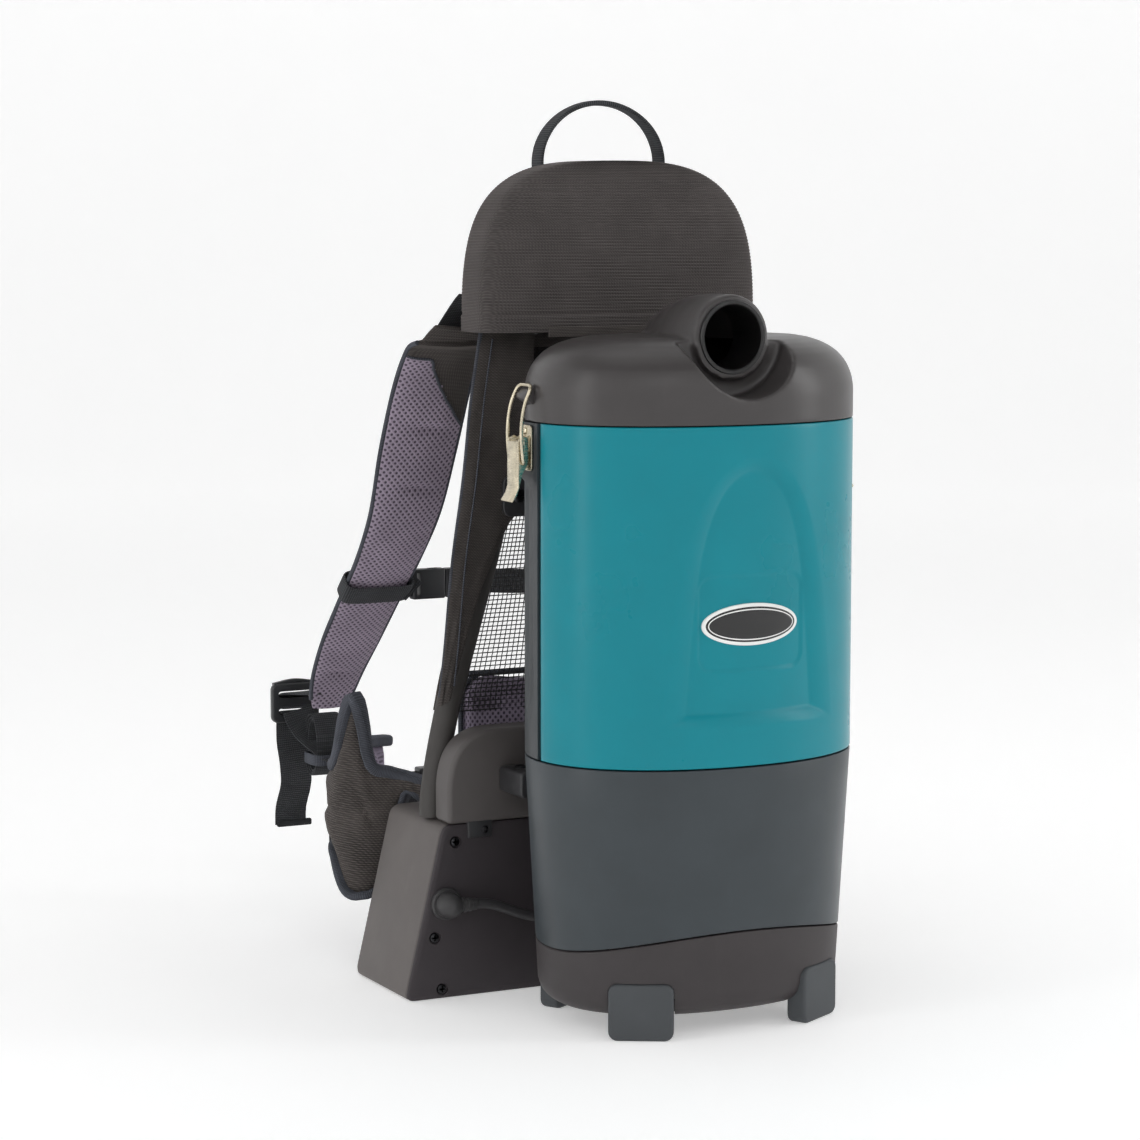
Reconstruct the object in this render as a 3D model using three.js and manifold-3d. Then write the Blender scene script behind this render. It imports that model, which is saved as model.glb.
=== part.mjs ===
// Backpack vacuum cleaner: an oval canister on a padded carrying frame, with a battery box behind it.
// Millimetres, +Z up. X runs across the machine, -Y is its outer face and +Y the wearer's side.
// Sub-parts are built round the canister's upright axis, and the whole is then moved so that the
// origin lies on the floor under the middle of the machine.
import * as THREE from "three";
import { mergeVertices } from "three/addons/utils/BufferGeometryUtils.js";
import Module from "manifold-3d";

const wasm = await Module();
wasm.setup();

// ---------------------------------------------------------------- driving dimensions
const GAP = 0.3; // space left between pieces that touch
const DEPTH_MIDDLE = 165; // from the canister's axis to the middle of the machine's depth

const CAN = { halfWidth: 111, halfDepth: 82, power: 2.15, steps: 40, bottom: 176, top: 393 };
const TAPER = 7 / 126; // the motor housing narrows by this much per mm below the canister
const SHELL_INSET = 6; // inner face of the canister shell
const COVER_THICK = 3;
const COVER_SEAM_Y = -1; // the front cover ends here, on both sides
const SKIN = 3; // wall of the mouldings
const ARCH = { top: 68.5, radius: 370 }; // seam between motor housing and base cap
const BASE_BOTTOM = 14;
const FOOT = { wide: 42, thick: 14, tall: 37, x: 63.3, y: 53.9, turn: 29.4, corner: 6 };
const RELIEF = { x: 4, halfWidth: 62, foot: 203, crown: 370, depth: 4 }; // arched recess in the cover
const LID_BOTTOM = 393.4;
const PORT = { z: 447, rimY: -57, radius: 22, bore: 20.5, humpRadius: 27, nicheRadius: 38 };
const LATCH = { y: 11, pivotX: 118.5, pivotZ: 380, bailX: 119, bailZ: 367, hookX: 113.1, hookZ: 416.1 };
const WIRE = 1.2; // radius of the bail wire
const BOX = { bottomHalf: 159, topHalf: 131, top: 118, front: 100, back: 193, cover: 4, wall: 3 };
const LEAD = { radius: 3.5, sides: 10 };
const TUBE = { y: 130, radius: 8.5, sides: 10 };
const HOOD = { halfWidth: 104, bottom: 446, tall: 114, power: 3.2, front: 86, back: 142, wall: 4 };
const HANDLE = { halfWidth: 47.5, bottom: 558, top: 600, thick: 2.5, front: 122, back: 138 };
const STRAP = { x: 97, thick: 13 };
const BELT_BUCKLE = { y: 371, z: 92 };
const CHEST_BUCKLE = { x: -44, y: 291, z: 257 };

// ---------------------------------------------------------------- shape helpers
const vec = (x, y, z) => new THREE.Vector3(x, y, z);

// A closed geometry as a solid that can be joined and cut.
function solid(geometry) {
  const bare = geometry.clone();
  bare.deleteAttribute("normal");
  bare.deleteAttribute("uv");
  const merged = mergeVertices(bare, 1e-4);
  return new wasm.Manifold(
    new wasm.Mesh({
      numProp: 3,
      vertProperties: merged.attributes.position.array,
      triVerts: new Uint32Array(merged.index.array),
    }),
  );
}

const join = (first, ...rest) => rest.reduce((sum, piece) => sum.add(piece), first);
const cut = (first, ...rest) => rest.reduce((left, piece) => left.subtract(piece), first);

function geometryOf(body) {
  const made = body.getMesh();
  const geometry = new THREE.BufferGeometry();
  geometry.setAttribute("position", new THREE.BufferAttribute(made.vertProperties, 3));
  geometry.setIndex(new THREE.BufferAttribute(made.triVerts, 1));
  return geometry.toNonIndexed();
}

function block(x0, x1, y0, y1, z0, z1, matrix) {
  const box = new THREE.BoxGeometry(Math.abs(x1 - x0), y1 - y0, z1 - z0);
  box.translate((x0 + x1) / 2, (y0 + y1) / 2, (z0 + z1) / 2);
  if (matrix) box.applyMatrix4(matrix);
  return solid(box);
}

// A straight round bar between two points.
function bar(from, to, radius, sides = 24) {
  const along = to.clone().sub(from);
  const rod = new THREE.CylinderGeometry(radius, radius, along.length(), sides);
  const turn = new THREE.Quaternion().setFromUnitVectors(vec(0, 1, 0), along.clone().normalize());
  rod.applyQuaternion(turn);
  rod.translate(...from.clone().add(to).multiplyScalar(0.5));
  return solid(rod);
}

const ball = (centre, radius, detail) =>
  solid(new THREE.IcosahedronGeometry(radius, detail).translate(...centre));

// Bent wire of round section, mitred at each corner.
function wire(points, radius, sides = 8) {
  const runs = points.slice(1).map((p, i) => p.clone().sub(points[i]).normalize());
  let across = vec(0, 0, 1).cross(runs[0]).normalize();
  const rings = points.map((p, i) => {
    const [into, away] = [runs[Math.max(0, i - 1)], runs[Math.min(i, runs.length - 1)]];
    const mitre = into.clone().add(away).normalize();
    const other = into.clone().cross(across);
    const ring = Array.from({ length: sides }, (_, k) => {
      const a = (2 * Math.PI * k) / sides;
      const spoke = across.clone().multiplyScalar(radius * Math.cos(a));
      spoke.addScaledVector(other, radius * Math.sin(a));
      return p.clone().add(spoke.addScaledVector(into, -spoke.dot(mitre) / into.dot(mitre)));
    });
    across = across.clone().applyQuaternion(new THREE.Quaternion().setFromUnitVectors(into, away));
    return ring;
  });
  return loft(rings);
}

const outline = (points) => new THREE.Shape(points.map(([u, v]) => new THREE.Vector2(u, v)));

function extruded(shape, depth, curveSegments = 10) {
  return new THREE.ExtrudeGeometry(shape, { depth, bevelEnabled: false, curveSegments });
}

// An outline in X and Z, drawn out along Y.
function prismY(shape, y0, y1, segments) {
  return solid(extruded(shape, y1 - y0, segments).rotateX(Math.PI / 2).translate(0, y1, 0));
}

// An outline in X and Y, drawn out along Z.
function prismZ(shape, z0, z1, segments) {
  return solid(extruded(shape, z1 - z0, segments).translate(0, 0, z0));
}

function roundedBox(u0, u1, v0, v1, radius) {
  const s = new THREE.Shape();
  s.moveTo(u0 + radius, v0);
  s.lineTo(u1 - radius, v0).absarc(u1 - radius, v0 + radius, radius, -Math.PI / 2, 0);
  s.lineTo(u1, v1 - radius).absarc(u1 - radius, v1 - radius, radius, 0, Math.PI / 2);
  s.lineTo(u0 + radius, v1).absarc(u0 + radius, v1 - radius, radius, Math.PI / 2, Math.PI);
  s.lineTo(u0, v0 + radius).absarc(u0 + radius, v0 + radius, radius, Math.PI, 1.5 * Math.PI);
  return s;
}

// A closed skin over rings of points that all have the same count, closed by a fan at each end.
function loft(rings) {
  const count = rings[0].length;
  const points = rings.flat();
  const faces = [];
  for (let r = 0; r + 1 < rings.length; r++) {
    for (let i = 0; i < count; i++) {
      const j = (i + 1) % count;
      const [a, b, c, d] = [r * count + i, r * count + j, (r + 1) * count + j, (r + 1) * count + i];
      faces.push(a, b, c, a, c, d);
    }
  }
  const last = (rings.length - 1) * count;
  const middle = (ring) => ring.reduce((sum, p) => sum.add(p), vec(0, 0, 0)).divideScalar(count);
  points.push(middle(rings[0]), middle(rings[rings.length - 1]));
  for (let i = 0; i < count; i++) {
    const j = (i + 1) % count;
    faces.push(points.length - 2, j, i, points.length - 1, last + i, last + j);
  }
  const geometry = new THREE.BufferGeometry().setFromPoints(points);
  geometry.setIndex(faces);
  const made = solid(geometry);
  if (made.volume() > 0) return made;
  for (let i = 0; i < faces.length; i += 3) [faces[i + 1], faces[i + 2]] = [faces[i + 2], faces[i + 1]];
  geometry.setIndex(faces);
  return solid(geometry);
}

// A solid turned round an upright axis from a closed outline of [radius, height] points.
function turned(profile, sides = 28) {
  const points = profile.map(([r, z]) => new THREE.Vector2(r, z));
  const closed = profile[0][0] > 0 ? [...points, points[0].clone()] : points;
  const made = solid(new THREE.LatheGeometry(closed, sides).rotateX(Math.PI / 2));
  if (made.volume() > 0) return made;
  const back = closed.slice().reverse();
  return solid(new THREE.LatheGeometry(back, sides).rotateX(Math.PI / 2));
}

// A tube of round section along a smooth curve through the points.
function tube(points, radius, sides, steps) {
  const section = new THREE.Shape();
  for (let i = 0; i < sides; i++) {
    const a = (2 * Math.PI * i) / sides;
    section[i ? "lineTo" : "moveTo"](radius * Math.cos(a), radius * Math.sin(a));
  }
  const path = new THREE.CatmullRomCurve3(points, false, "centripetal");
  return solid(new THREE.ExtrudeGeometry(section, { steps, extrudePath: path, bevelEnabled: false }));
}

const power = (value, exponent) => Math.sign(value) * Math.abs(value) ** exponent;

// The canister's plan, `inset` mm inside its full size, at height z.
function ovalRing(z, inset) {
  const taper = Math.max(0, CAN.bottom - z) * TAPER;
  const a = CAN.halfWidth - inset - taper;
  const b = CAN.halfDepth - inset - taper;
  return Array.from({ length: CAN.steps }, (_, i) => {
    const t = (2 * Math.PI * i) / CAN.steps;
    return vec(a * power(Math.cos(t), 2 / CAN.power), b * power(Math.sin(t), 2 / CAN.power), z);
  });
}
const oval = (levels) => loft(levels.map(([z, inset]) => ovalRing(z, inset)));
const ovalWall = (z0, z1, outer, inner) =>
  cut(oval([[z0, outer], [z1, outer]]), oval([[z0 - 5, inner], [z1 + 5, inner]]));

const finish = (color, roughness, metalness = 0) =>
  new THREE.MeshStandardMaterial({ color, roughness, metalness });

const machine = new THREE.Group();
machine.position.y = -DEPTH_MIDDLE;

function addPart(name, body, material) {
  const mesh = new THREE.Mesh(geometryOf(body), material);
  mesh.name = name;
  machine.add(mesh);
}

const SIDES = [["left", -1], ["right", 1]];

// ---------------------------------------------------------------- canister
// The part of the canister wall between two insets that lies inside the arch, grown by a margin.
function reliefBlock(outer, inner, grow) {
  const { x } = RELIEF;
  const [half, foot, crown] = [RELIEF.halfWidth + grow, RELIEF.foot - grow, RELIEF.crown + grow];
  const s = new THREE.Shape();
  s.moveTo(x - half, foot);
  s.lineTo(x + half, foot);
  s.bezierCurveTo(x + half - 12, crown - 60, x + half - 24, crown, x, crown);
  s.bezierCurveTo(x - half + 24, crown, x - half + 12, crown - 60, x - half, foot);
  return ovalWall(CAN.bottom, CAN.top, outer, inner).intersect(prismY(s, -110, 0));
}

function canister() {
  const frontHalf = block(-130, 130, -120, COVER_SEAM_Y, CAN.bottom - 20, CAN.top + 20);
  const coverSpace = ovalWall(CAN.bottom - 10, CAN.top + 10, -2, COVER_THICK + GAP).intersect(frontHalf);
  const pads = SIDES.map(([, s]) => block(s * 103, s * 112, LATCH.y - 11, LATCH.y + 11, 355, 392.6));
  const body = join(oval([[CAN.bottom + GAP, 0], [CAN.top - 0.4, 0]]), ...pads);
  const chamber = oval([[CAN.bottom - 10, SHELL_INSET], [CAN.top + 10, SHELL_INSET]]);
  const floor = RELIEF.depth + COVER_THICK;
  const pocket = reliefBlock(COVER_THICK, floor + GAP, GAP + SKIN);
  const backing = reliefBlock(COVER_THICK + GAP, floor + GAP + SKIN, GAP + 2 * SKIN);
  const shell = cut(join(cut(body, chamber, coverSpace), backing), pocket);
  addPart("canister_shell", shell, finish(0x44494c, 0.45));

  const face = ovalWall(CAN.bottom + 0.4, CAN.top - 0.4, 0, COVER_THICK);
  const cover = cut(join(face, reliefBlock(0.5, floor, SKIN)), reliefBlock(-2, RELIEF.depth, 0));
  const coverHalf = block(-130, 130, -120, COVER_SEAM_Y - GAP, 100, 450);
  addPart("front_cover", cover.intersect(coverHalf), finish(0x008896, 0.35));

  const badge = new THREE.Shape();
  badge.absellipse(RELIEF.x, 266.5, 35, 13.5, 0, 2 * Math.PI);
  const plate = ovalWall(240, 290, RELIEF.depth - 1.7, RELIEF.depth - GAP);
  addPart("badge_plate", plate.intersect(prismY(badge, -110, -40, 16)), finish(0x111111, 0.4));
}

// ---------------------------------------------------------------- motor housing, base and feet
// Everything below the arched seam, raised by `lift`.
function belowArch(lift) {
  const reach = 125;
  const points = [[reach, -20], [-reach, -20]];
  for (let i = -6; i <= 6; i++) {
    const x = (reach * i) / 6;
    points.push([x, ARCH.top + lift - (ARCH.radius - Math.sqrt(ARCH.radius ** 2 - x ** 2))]);
  }
  return prismY(outline(points), -120, 120);
}

function footShape(grow) {
  const half = FOOT.wide / 2 + grow;
  return roundedBox(-half, half, -grow, FOOT.tall + grow, FOOT.corner + grow);
}

// A foot, or the space round it, in its place on the base.
function footAt(sx, sy, grow, inward) {
  const depth = FOOT.thick + inward;
  const shape = extruded(footShape(grow), depth, 3).rotateX(Math.PI / 2);
  shape.translate(0, FOOT.thick / 2, 0);
  const turn = THREE.MathUtils.degToRad(sy > 0 ? -sx * FOOT.turn : 180 + sx * FOOT.turn);
  shape.rotateZ(turn);
  return solid(shape.translate(sx * FOOT.x, sy * FOOT.y, 0));
}

function lowerBody() {
  const outer = oval([[40, 0], [CAN.bottom - GAP, 0]]);
  const inner = oval([[30, SKIN], [CAN.bottom + 10, SKIN]]);
  addPart("motor_housing", cut(outer, inner, belowArch(GAP)), finish(0x464c50, 0.4));

  const shellOuter = oval([[BASE_BOTTOM, 11], [16.5, 6], [21, 2.2], [28, 0], [80, 0]]);
  const shellInner = oval([[BASE_BOTTOM + 3.5, 9], [22, 5.4], [28, SKIN], [90, SKIN]]);
  const corners = [[-1, -1], [1, -1], [-1, 1], [1, 1]];
  const bosses = corners.map(([x, y]) => footAt(x, y, 2.5, 3).intersect(shellOuter));
  const pockets = corners.map(([x, y]) =>
    join(footAt(x, y, GAP, GAP), footAt(x, y, GAP, GAP).translate([x * 6, y * 10, 0])),
  );
  const vents = [-36, -24, -12, 0, 12, 24, 36].map((x) => block(x - 2, x + 2, -30, 30, 5, 25));
  const base = cut(join(cut(shellOuter, shellInner), ...bosses), ...pockets, ...vents);
  addPart("base_cap", base.intersect(belowArch(-GAP)), finish(0x4b4646, 0.55));

  for (const [x, y] of corners) {
    const name = `foot_${y < 0 ? "front" : "rear"}_${x < 0 ? "left" : "right"}`;
    addPart(name, footAt(x, y, 0, 0), finish(0x55585c, 0.6));
  }
}

// ---------------------------------------------------------------- lid
function humpRing(y, radius, z, sides = 24) {
  return Array.from({ length: sides }, (_, i) => {
    const a = (2 * Math.PI * i) / sides;
    return vec(radius * Math.cos(a), y, z + radius * Math.sin(a));
  });
}

function keeper(s) {
  const points = [[109, 403], [116.5, 408], [116.5, 410.5], [109, 418]];
  return prismY(outline(points.map(([x, z]) => [s * x, z])), LATCH.y - 7, LATCH.y + 7);
}

function lid() {
  const port = (y0, y1, radius) => bar(vec(0, y0, PORT.z), vec(0, y1, PORT.z), radius, 28);
  const crown = [[412, 0], [423, 2.2], [432, 7], [439.5, 15.5], [444.5, 28], [447, 52]];
  const outer = oval([[LID_BOTTOM, 0], ...crown]);
  const hump = loft([
    humpRing(-54, 26, PORT.z),
    humpRing(-52, PORT.humpRadius, PORT.z),
    humpRing(-24, PORT.humpRadius, PORT.z),
    humpRing(4, 26, 443),
    humpRing(32, 22, 435),
    humpRing(54, 14, 427),
  ]);
  const niche = cut(port(-110, -50, PORT.nicheRadius), port(-54, -45, PORT.humpRadius));
  const inside = oval([[396, SKIN], ...crown.map(([z, inset]) => [z - SKIN, inset + SKIN])]);
  const hollow = cut(inside, port(-110, -47, PORT.nicheRadius + SKIN));
  const mouth = oval([[390, 9], [397, 9]]);
  const bore = port(-70, -14, PORT.radius + GAP);
  const keepers = SIDES.map(([, s]) => keeper(s));
  const shell = cut(join(outer, hump), niche, hollow, mouth, bore);
  addPart("lid", join(shell, ...keepers), finish(0x4b4848, 0.4));

  addPart("lid_gasket", ovalWall(386, LID_BOTTOM - GAP, SHELL_INSET + GAP, 9), finish(0x1c1c1c, 0.9));

  const tubeWall = cut(
    join(port(PORT.rimY, -20, PORT.radius), port(PORT.rimY, PORT.rimY + 2, PORT.radius + 1.5)),
    port(-70, -10, PORT.bore),
  );
  addPart("hose_port_collar", tubeWall, finish(0x191919, 0.35));
}

// ---------------------------------------------------------------- inside the canister
function insides() {
  const upright = (z0, z1, radius, sides) => bar(vec(0, 0, z0), vec(0, 0, z1), radius, sides);
  const bag = oval([[205, 34], [218, 20], [355, 20], [370, 38]]);
  addPart("dust_bag", cut(bag, upright(335, 375, 19, 24)), finish(0xcfc4a8, 0.95));
  const collar = cut(prismZ(roundedBox(-50, 50, -32, 32, 8), 371, 374), upright(365, 380, 19, 24));
  addPart("bag_collar", collar, finish(0xb08a5a, 0.9));
  addPart("motor_filter", upright(180, 198, 60), finish(0xe8e8e4, 0.95));
  const deck = cut(oval([[170, 4], [173, 4]]), upright(160, 180, 30));
  addPart("motor_deck", deck, finish(0x2c2e30, 0.6));
  const sealRing = turned([[50, 164.3], [57, 164.3], [57, 169.7], [50, 169.7]]);
  addPart("motor_seal", sealRing, finish(0x1b1b1b, 0.95));
  const can = [[24, 164], [58, 164], [58, 84], [9, 84], [9, 87], [55, 87], [55, 161], [24, 161]];
  addPart("motor_can", turned(can), finish(0x9a9da0, 0.35, 0.8));

  const shaft = [[0, 80], [5, 80], [5, 100], [30, 100], [30, 132], [5, 132], [5, 142], [50, 142],
    [50, 145], [12, 150], [5, 158], [0, 158]];
  const blades = Array.from({ length: 8 }, (_, i) =>
    block(10, 47, -0.7, 0.7, 144, 156, new THREE.Matrix4().makeRotationZ((i * Math.PI) / 4)),
  );
  addPart("motor_rotor", join(turned(shaft), ...blades), finish(0xb0b3b5, 0.3, 0.9));

  addPart("exhaust_filter", upright(20, 42, 52), finish(0xe0e2e4, 0.95));
  addPart("control_board", block(-84, -82.4, -25, 25, 95, 169.7), finish(0x1f5a34, 0.6));
}

// ---------------------------------------------------------------- latches
function latches() {
  const steel = () => finish(0xc8bea5, 0.3, 0.9);
  for (const [side, s] of SIDES) {
    const at = (x, dy, z) => vec(s * x, LATCH.y + dy, z);
    const slab = (points, dy0, dy1) =>
      prismY(outline(points.map(([x, z]) => [s * x, z])), LATCH.y + dy0, LATCH.y + dy1);
    const pin = (dy0, dy1, x, z, radius) => bar(at(x, dy0, z), at(x, dy1, z), radius, 12);
    const { pivotX, pivotZ } = LATCH;

    const back = slab([[112.3, 362], [113.5, 362], [113.5, 391], [112.3, 391]], -8.5, 8.5);
    const ears = [[-6.4, -5.2], [5.2, 6.4]].map(([a, b]) =>
      join(
        slab([[113, 374], [pivotX, pivotZ - 2.4], [pivotX, pivotZ + 1.5], [113, 382.5]], a, b),
        pin(a, b, pivotX, pivotZ, 2.4),
      ),
    );
    const bracket = cut(join(back, ...ears), pin(-9, 9, pivotX, pivotZ, 1.65));
    addPart(`latch_bracket_${side}`, bracket, steel());

    const face = slab(
      [[121.3, 381], [122.5, 381], [122.5, 352], [127, 343], [126, 342], [121.3, 351.5]], -8, 8);
    const cheeks = [[-8, -6.9], [6.9, 8]].map(([a, b]) =>
      cut(
        slab([[115, 382], [122, 381], [122, 354], [119.5, 360], [115.6, 366]], a, b),
        pin(a - 1, b + 1, LATCH.bailX, LATCH.bailZ, 1.55),
      ),
    );
    const lever = join(face, ...cheeks, pin(-7.5, 7.5, pivotX, pivotZ, 1.3));
    addPart(`latch_lever_${side}`, lever, steel());

    const leg = (dy) => [
      at(LATCH.bailX, dy, LATCH.bailZ),
      at(119.8, dy, 384),
      at(118, dy, 402),
      at(LATCH.hookX, dy, LATCH.hookZ),
    ];
    const ends = [at(LATCH.bailX, 7.1, LATCH.bailZ), at(LATCH.bailX, -7.1, LATCH.bailZ)];
    const loop = [ends[0], ...leg(9.6), ...leg(-9.6).reverse(), ends[1]];
    addPart(`latch_bail_${side}`, wire(loop, WIRE), steel());
  }
}

// ---------------------------------------------------------------- battery box
function boxOutline(inset) {
  const slope = (BOX.bottomHalf - BOX.topHalf) / BOX.top;
  const half = (z) => BOX.bottomHalf - slope * z - inset;
  const [low, high, r] = [inset, BOX.top - inset, 6];
  const s = new THREE.Shape();
  s.moveTo(-half(low) + r, low);
  s.lineTo(half(low) - r, low).quadraticCurveTo(half(low), low, half(low + r), low + r);
  s.lineTo(half(high - r), high - r).quadraticCurveTo(half(high), high, half(high) - r, high);
  s.lineTo(-half(high) + r, high).quadraticCurveTo(-half(high), high, -half(high - r), high - r);
  s.lineTo(-half(low + r), low + r).quadraticCurveTo(-half(low), low, -half(low) + r, low);
  return s;
}

// The slanted right-hand end of the box: local X points out of it, local Z up along it.
function boxEnd(y, z) {
  const slope = Math.atan2(BOX.bottomHalf - BOX.topHalf, BOX.top);
  const x = BOX.bottomHalf - z * Math.tan(slope);
  return new THREE.Matrix4().makeTranslation(x, y, z).multiply(new THREE.Matrix4().makeRotationY(-slope));
}

function batteryBox() {
  const split = BOX.front + BOX.cover;
  const switchPlace = boxEnd(128, 72);
  const socketPlace = boxEnd(166, 72);
  const place = (geometry, matrix) => solid(geometry.applyMatrix4(matrix));
  const disc = (radius, u0, u1, matrix) => {
    const g = new THREE.CylinderGeometry(radius, radius, u1 - u0, 24).rotateZ(Math.PI / 2);
    return place(g.translate((u0 + u1) / 2, 0, 0), matrix);
  };

  const hollow = prismY(boxOutline(BOX.wall), BOX.front - 10, BOX.back - BOX.wall);
  const switchHole = block(-8, 8, -9.6, 9.6, -13.6, 13.6, switchPlace);
  const tray = cut(
    prismY(boxOutline(0), split + GAP, BOX.back), hollow, switchHole, disc(8, -8, 8, socketPlace));
  addPart("battery_tray", tray, finish(0x625e5c, 0.6));
  addPart("battery_cover", prismY(boxOutline(0), BOX.front, split), finish(0x3e393e, 0.55));
  addPart("battery_pack", block(-112, 112, 110, 184, 6, 96), finish(0x2a2d31, 0.7));

  const frame = cut(
    block(GAP, 2.5, -13, 13, -17, 17, switchPlace), block(-9, 9, -10, 10, -14, 14, switchPlace));
  addPart("switch_bezel", frame, finish(0x1a1a1a, 0.4));
  const tilt = new THREE.Matrix4().makeRotationY(THREE.MathUtils.degToRad(-8));
  const rockerShape = outline([[-4, -11], [3.6, -12.4], [2.4, 0], [3.6, 12.4], [-4, 11]]);
  const rocker = extruded(rockerShape, 18).rotateX(Math.PI / 2).translate(0, 9, 0);
  addPart("rocker_switch", place(rocker, switchPlace.clone().multiply(tilt)), finish(0x9c1f1c, 0.35));

  const socket = cut(join(disc(12, GAP, 3, socketPlace), disc(7.6, -6, 3, socketPlace)),
    disc(5, -4, 4, socketPlace));
  addPart("charge_socket", socket, finish(0x1a1a1a, 0.5));
  const cap = join(disc(11, 3.3, 5.1, socketPlace), block(3.3, 5.1, -4, 4, 8, 13.5, socketPlace));
  addPart("charge_socket_cap", cap, finish(0x222222, 0.8));
}

// ---------------------------------------------------------------- lead between box and canister
const LEAD_ROUTE = [
  [-111.7, 90, 65], [-107, 90, 64.7], [-102, 90.1, 63.8], [-97, 90.2, 62.3], [-92, 90.3, 60.4],
  [-87, 90.2, 58.4], [-82, 90, 56.4], [-76, 89.5, 54.2], [-70, 88.8, 52.7], [-64, 88.2, 52.1],
  [-58.3, 88, 52],
];

function lead() {
  const [[startX, startY, startZ]] = LEAD_ROUTE;
  const [endX, endY, endZ] = LEAD_ROUTE[LEAD_ROUTE.length - 1];
  const bootX = -130;
  const boot = join(
    bar(vec(bootX, 96.5, startZ), vec(bootX, BOX.front - GAP, startZ), 11),
    bar(vec(bootX, startY, startZ), vec(bootX, 97, startZ), 7, 16),
    ball(vec(bootX, startY, startZ), 8.5, 1),
    bar(vec(bootX, startY, startZ), vec(startX - GAP, startY, startZ), 5.2, 16),
  );
  addPart("battery_gland", boot, finish(0x3a3d42, 0.6));

  const elbowX = -44;
  const elbow = join(
    bar(vec(elbowX, 60, endZ), vec(elbowX, 90, endZ), 8, 16),
    ball(vec(elbowX, endY + 1, endZ), 8, 1),
    bar(vec(elbowX, endY, endZ), vec(endX + GAP, endY, endZ), 5.2, 16),
  );
  const clear = oval([[20, -GAP], [110, -GAP]]);
  addPart("canister_gland", cut(elbow, clear), finish(0x3a3d42, 0.6));

  const route = LEAD_ROUTE.map(([x, y, z]) => vec(x, y, z));
  addPart("battery_lead", tube(route, LEAD.radius, LEAD.sides, 8), finish(0x2b2b2e, 0.6));
}

// ---------------------------------------------------------------- frame
const TUBE_ROUTE = [
  [-126.5, 118.8], [-126.3, 130], [-122, 158], [-113, 198], [-101.5, 238], [-91.5, 272], [-82, 305],
  [-73, 345], [-67, 385], [-63.4, 420], [-63, 434], [-63, 444.4],
];

function frame() {
  for (const [side, s] of SIDES) {
    const route = TUBE_ROUTE.map(([x, z]) => vec(-s * x, TUBE.y, z));
    addPart(`frame_tube_${side}`, tube(route, TUBE.radius, TUBE.sides, 22), finish(0x1d1d1f, 0.4, 0.3));
  }
  const half = [[-63, 445], [-63, 462], [-62.6, 482], [-57, 506], [-40, 525], [-18, 531]];
  const bow = [...half, [0, 532], ...half.map(([x, z]) => [-x, z]).reverse()];
  const bowRoute = bow.map(([x, z]) => vec(x, TUBE.y, z));
  addPart("frame_top_bow", tube(bowRoute, TUBE.radius, TUBE.sides, 26), finish(0x1d1d1f, 0.4, 0.3));

  const mount = new THREE.Shape();
  mount.moveTo(-129, BOX.top + GAP);
  mount.lineTo(129, BOX.top + GAP).lineTo(129, 142).quadraticCurveTo(127, 181, 92, 181);
  mount.lineTo(-92, 181).quadraticCurveTo(-127, 181, -129, 142);
  addPart("lumbar_mount", prismY(mount, 97, 121), finish(0x3b3836, 0.6));

  const clear = oval([[100, -GAP], [CAN.bottom, -GAP], [390, -GAP]]);
  for (const [side, s] of SIDES) {
    const peg = block(s * 92, s * 70, 55, 97 - GAP, 139, 156);
    addPart(`lower_bracket_${side}`, cut(peg, clear), finish(0x2b2b2d, 0.5));
  }
  const crossbar = join(
    block(-82, 82, 109, 112.5, 322, 350),
    block(-30, 30, 70, 112.5, 326, 346),
  );
  addPart("upper_bracket", cut(crossbar, clear), finish(0x2b2b2d, 0.5));
}

// ---------------------------------------------------------------- fabric parts
function hoodRing(y, inset, low, sides = 26) {
  const a = HOOD.halfWidth - inset;
  const b = HOOD.tall - inset;
  return Array.from({ length: sides + 1 }, (_, i) => {
    const t = (Math.PI * i) / sides;
    const [x, z] = [power(Math.cos(t), 2 / HOOD.power), Math.sin(t) ** (2 / HOOD.power)];
    return vec(a * x, y, i % sides ? HOOD.bottom + b * z : low);
  });
}

function hood() {
  const levels = [[HOOD.front, 11], [90, 4], [98, 0], [130, 0], [138, 4], [HOOD.back, 11]];
  const body = loft(levels.map(([y, inset]) => hoodRing(y, inset, HOOD.bottom)));
  const w = HOOD.wall;
  const inside = [[HOOD.front + w, 9], [98, w + 1], [130, w + 1], [HOOD.back - 3.2, 9]];
  const hollow = loft(inside.map(([y, inset]) => hoodRing(y, inset, HOOD.bottom - 10)));
  addPart("hood_cover", cut(body, hollow), finish(0x464242, 0.9));
}

function handle() {
  const { halfWidth, bottom, top, thick } = HANDLE;
  const band = new THREE.Shape();
  band.moveTo(halfWidth, bottom);
  band.absellipse(0, bottom, halfWidth, top - bottom, 0, Math.PI);
  band.lineTo(-halfWidth + thick, bottom);
  band.absellipse(0, bottom, halfWidth - thick, top - bottom - thick, Math.PI, 0, true);
  addPart("carry_handle", prismY(band, HANDLE.front, HANDLE.back, 14), finish(0x37393a, 0.8));
}

const SLEEVE_OUTER = [[-96, 445.4], [-103, 400], [-109, 347], [-117, 293], [-123, 233], [-127, 196]];
const SLEEVE_INNER = [[-118, 200], [-98, 266], [-77, 312], [-65, 335], [-57, 413], [-55, 445.4]];

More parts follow.
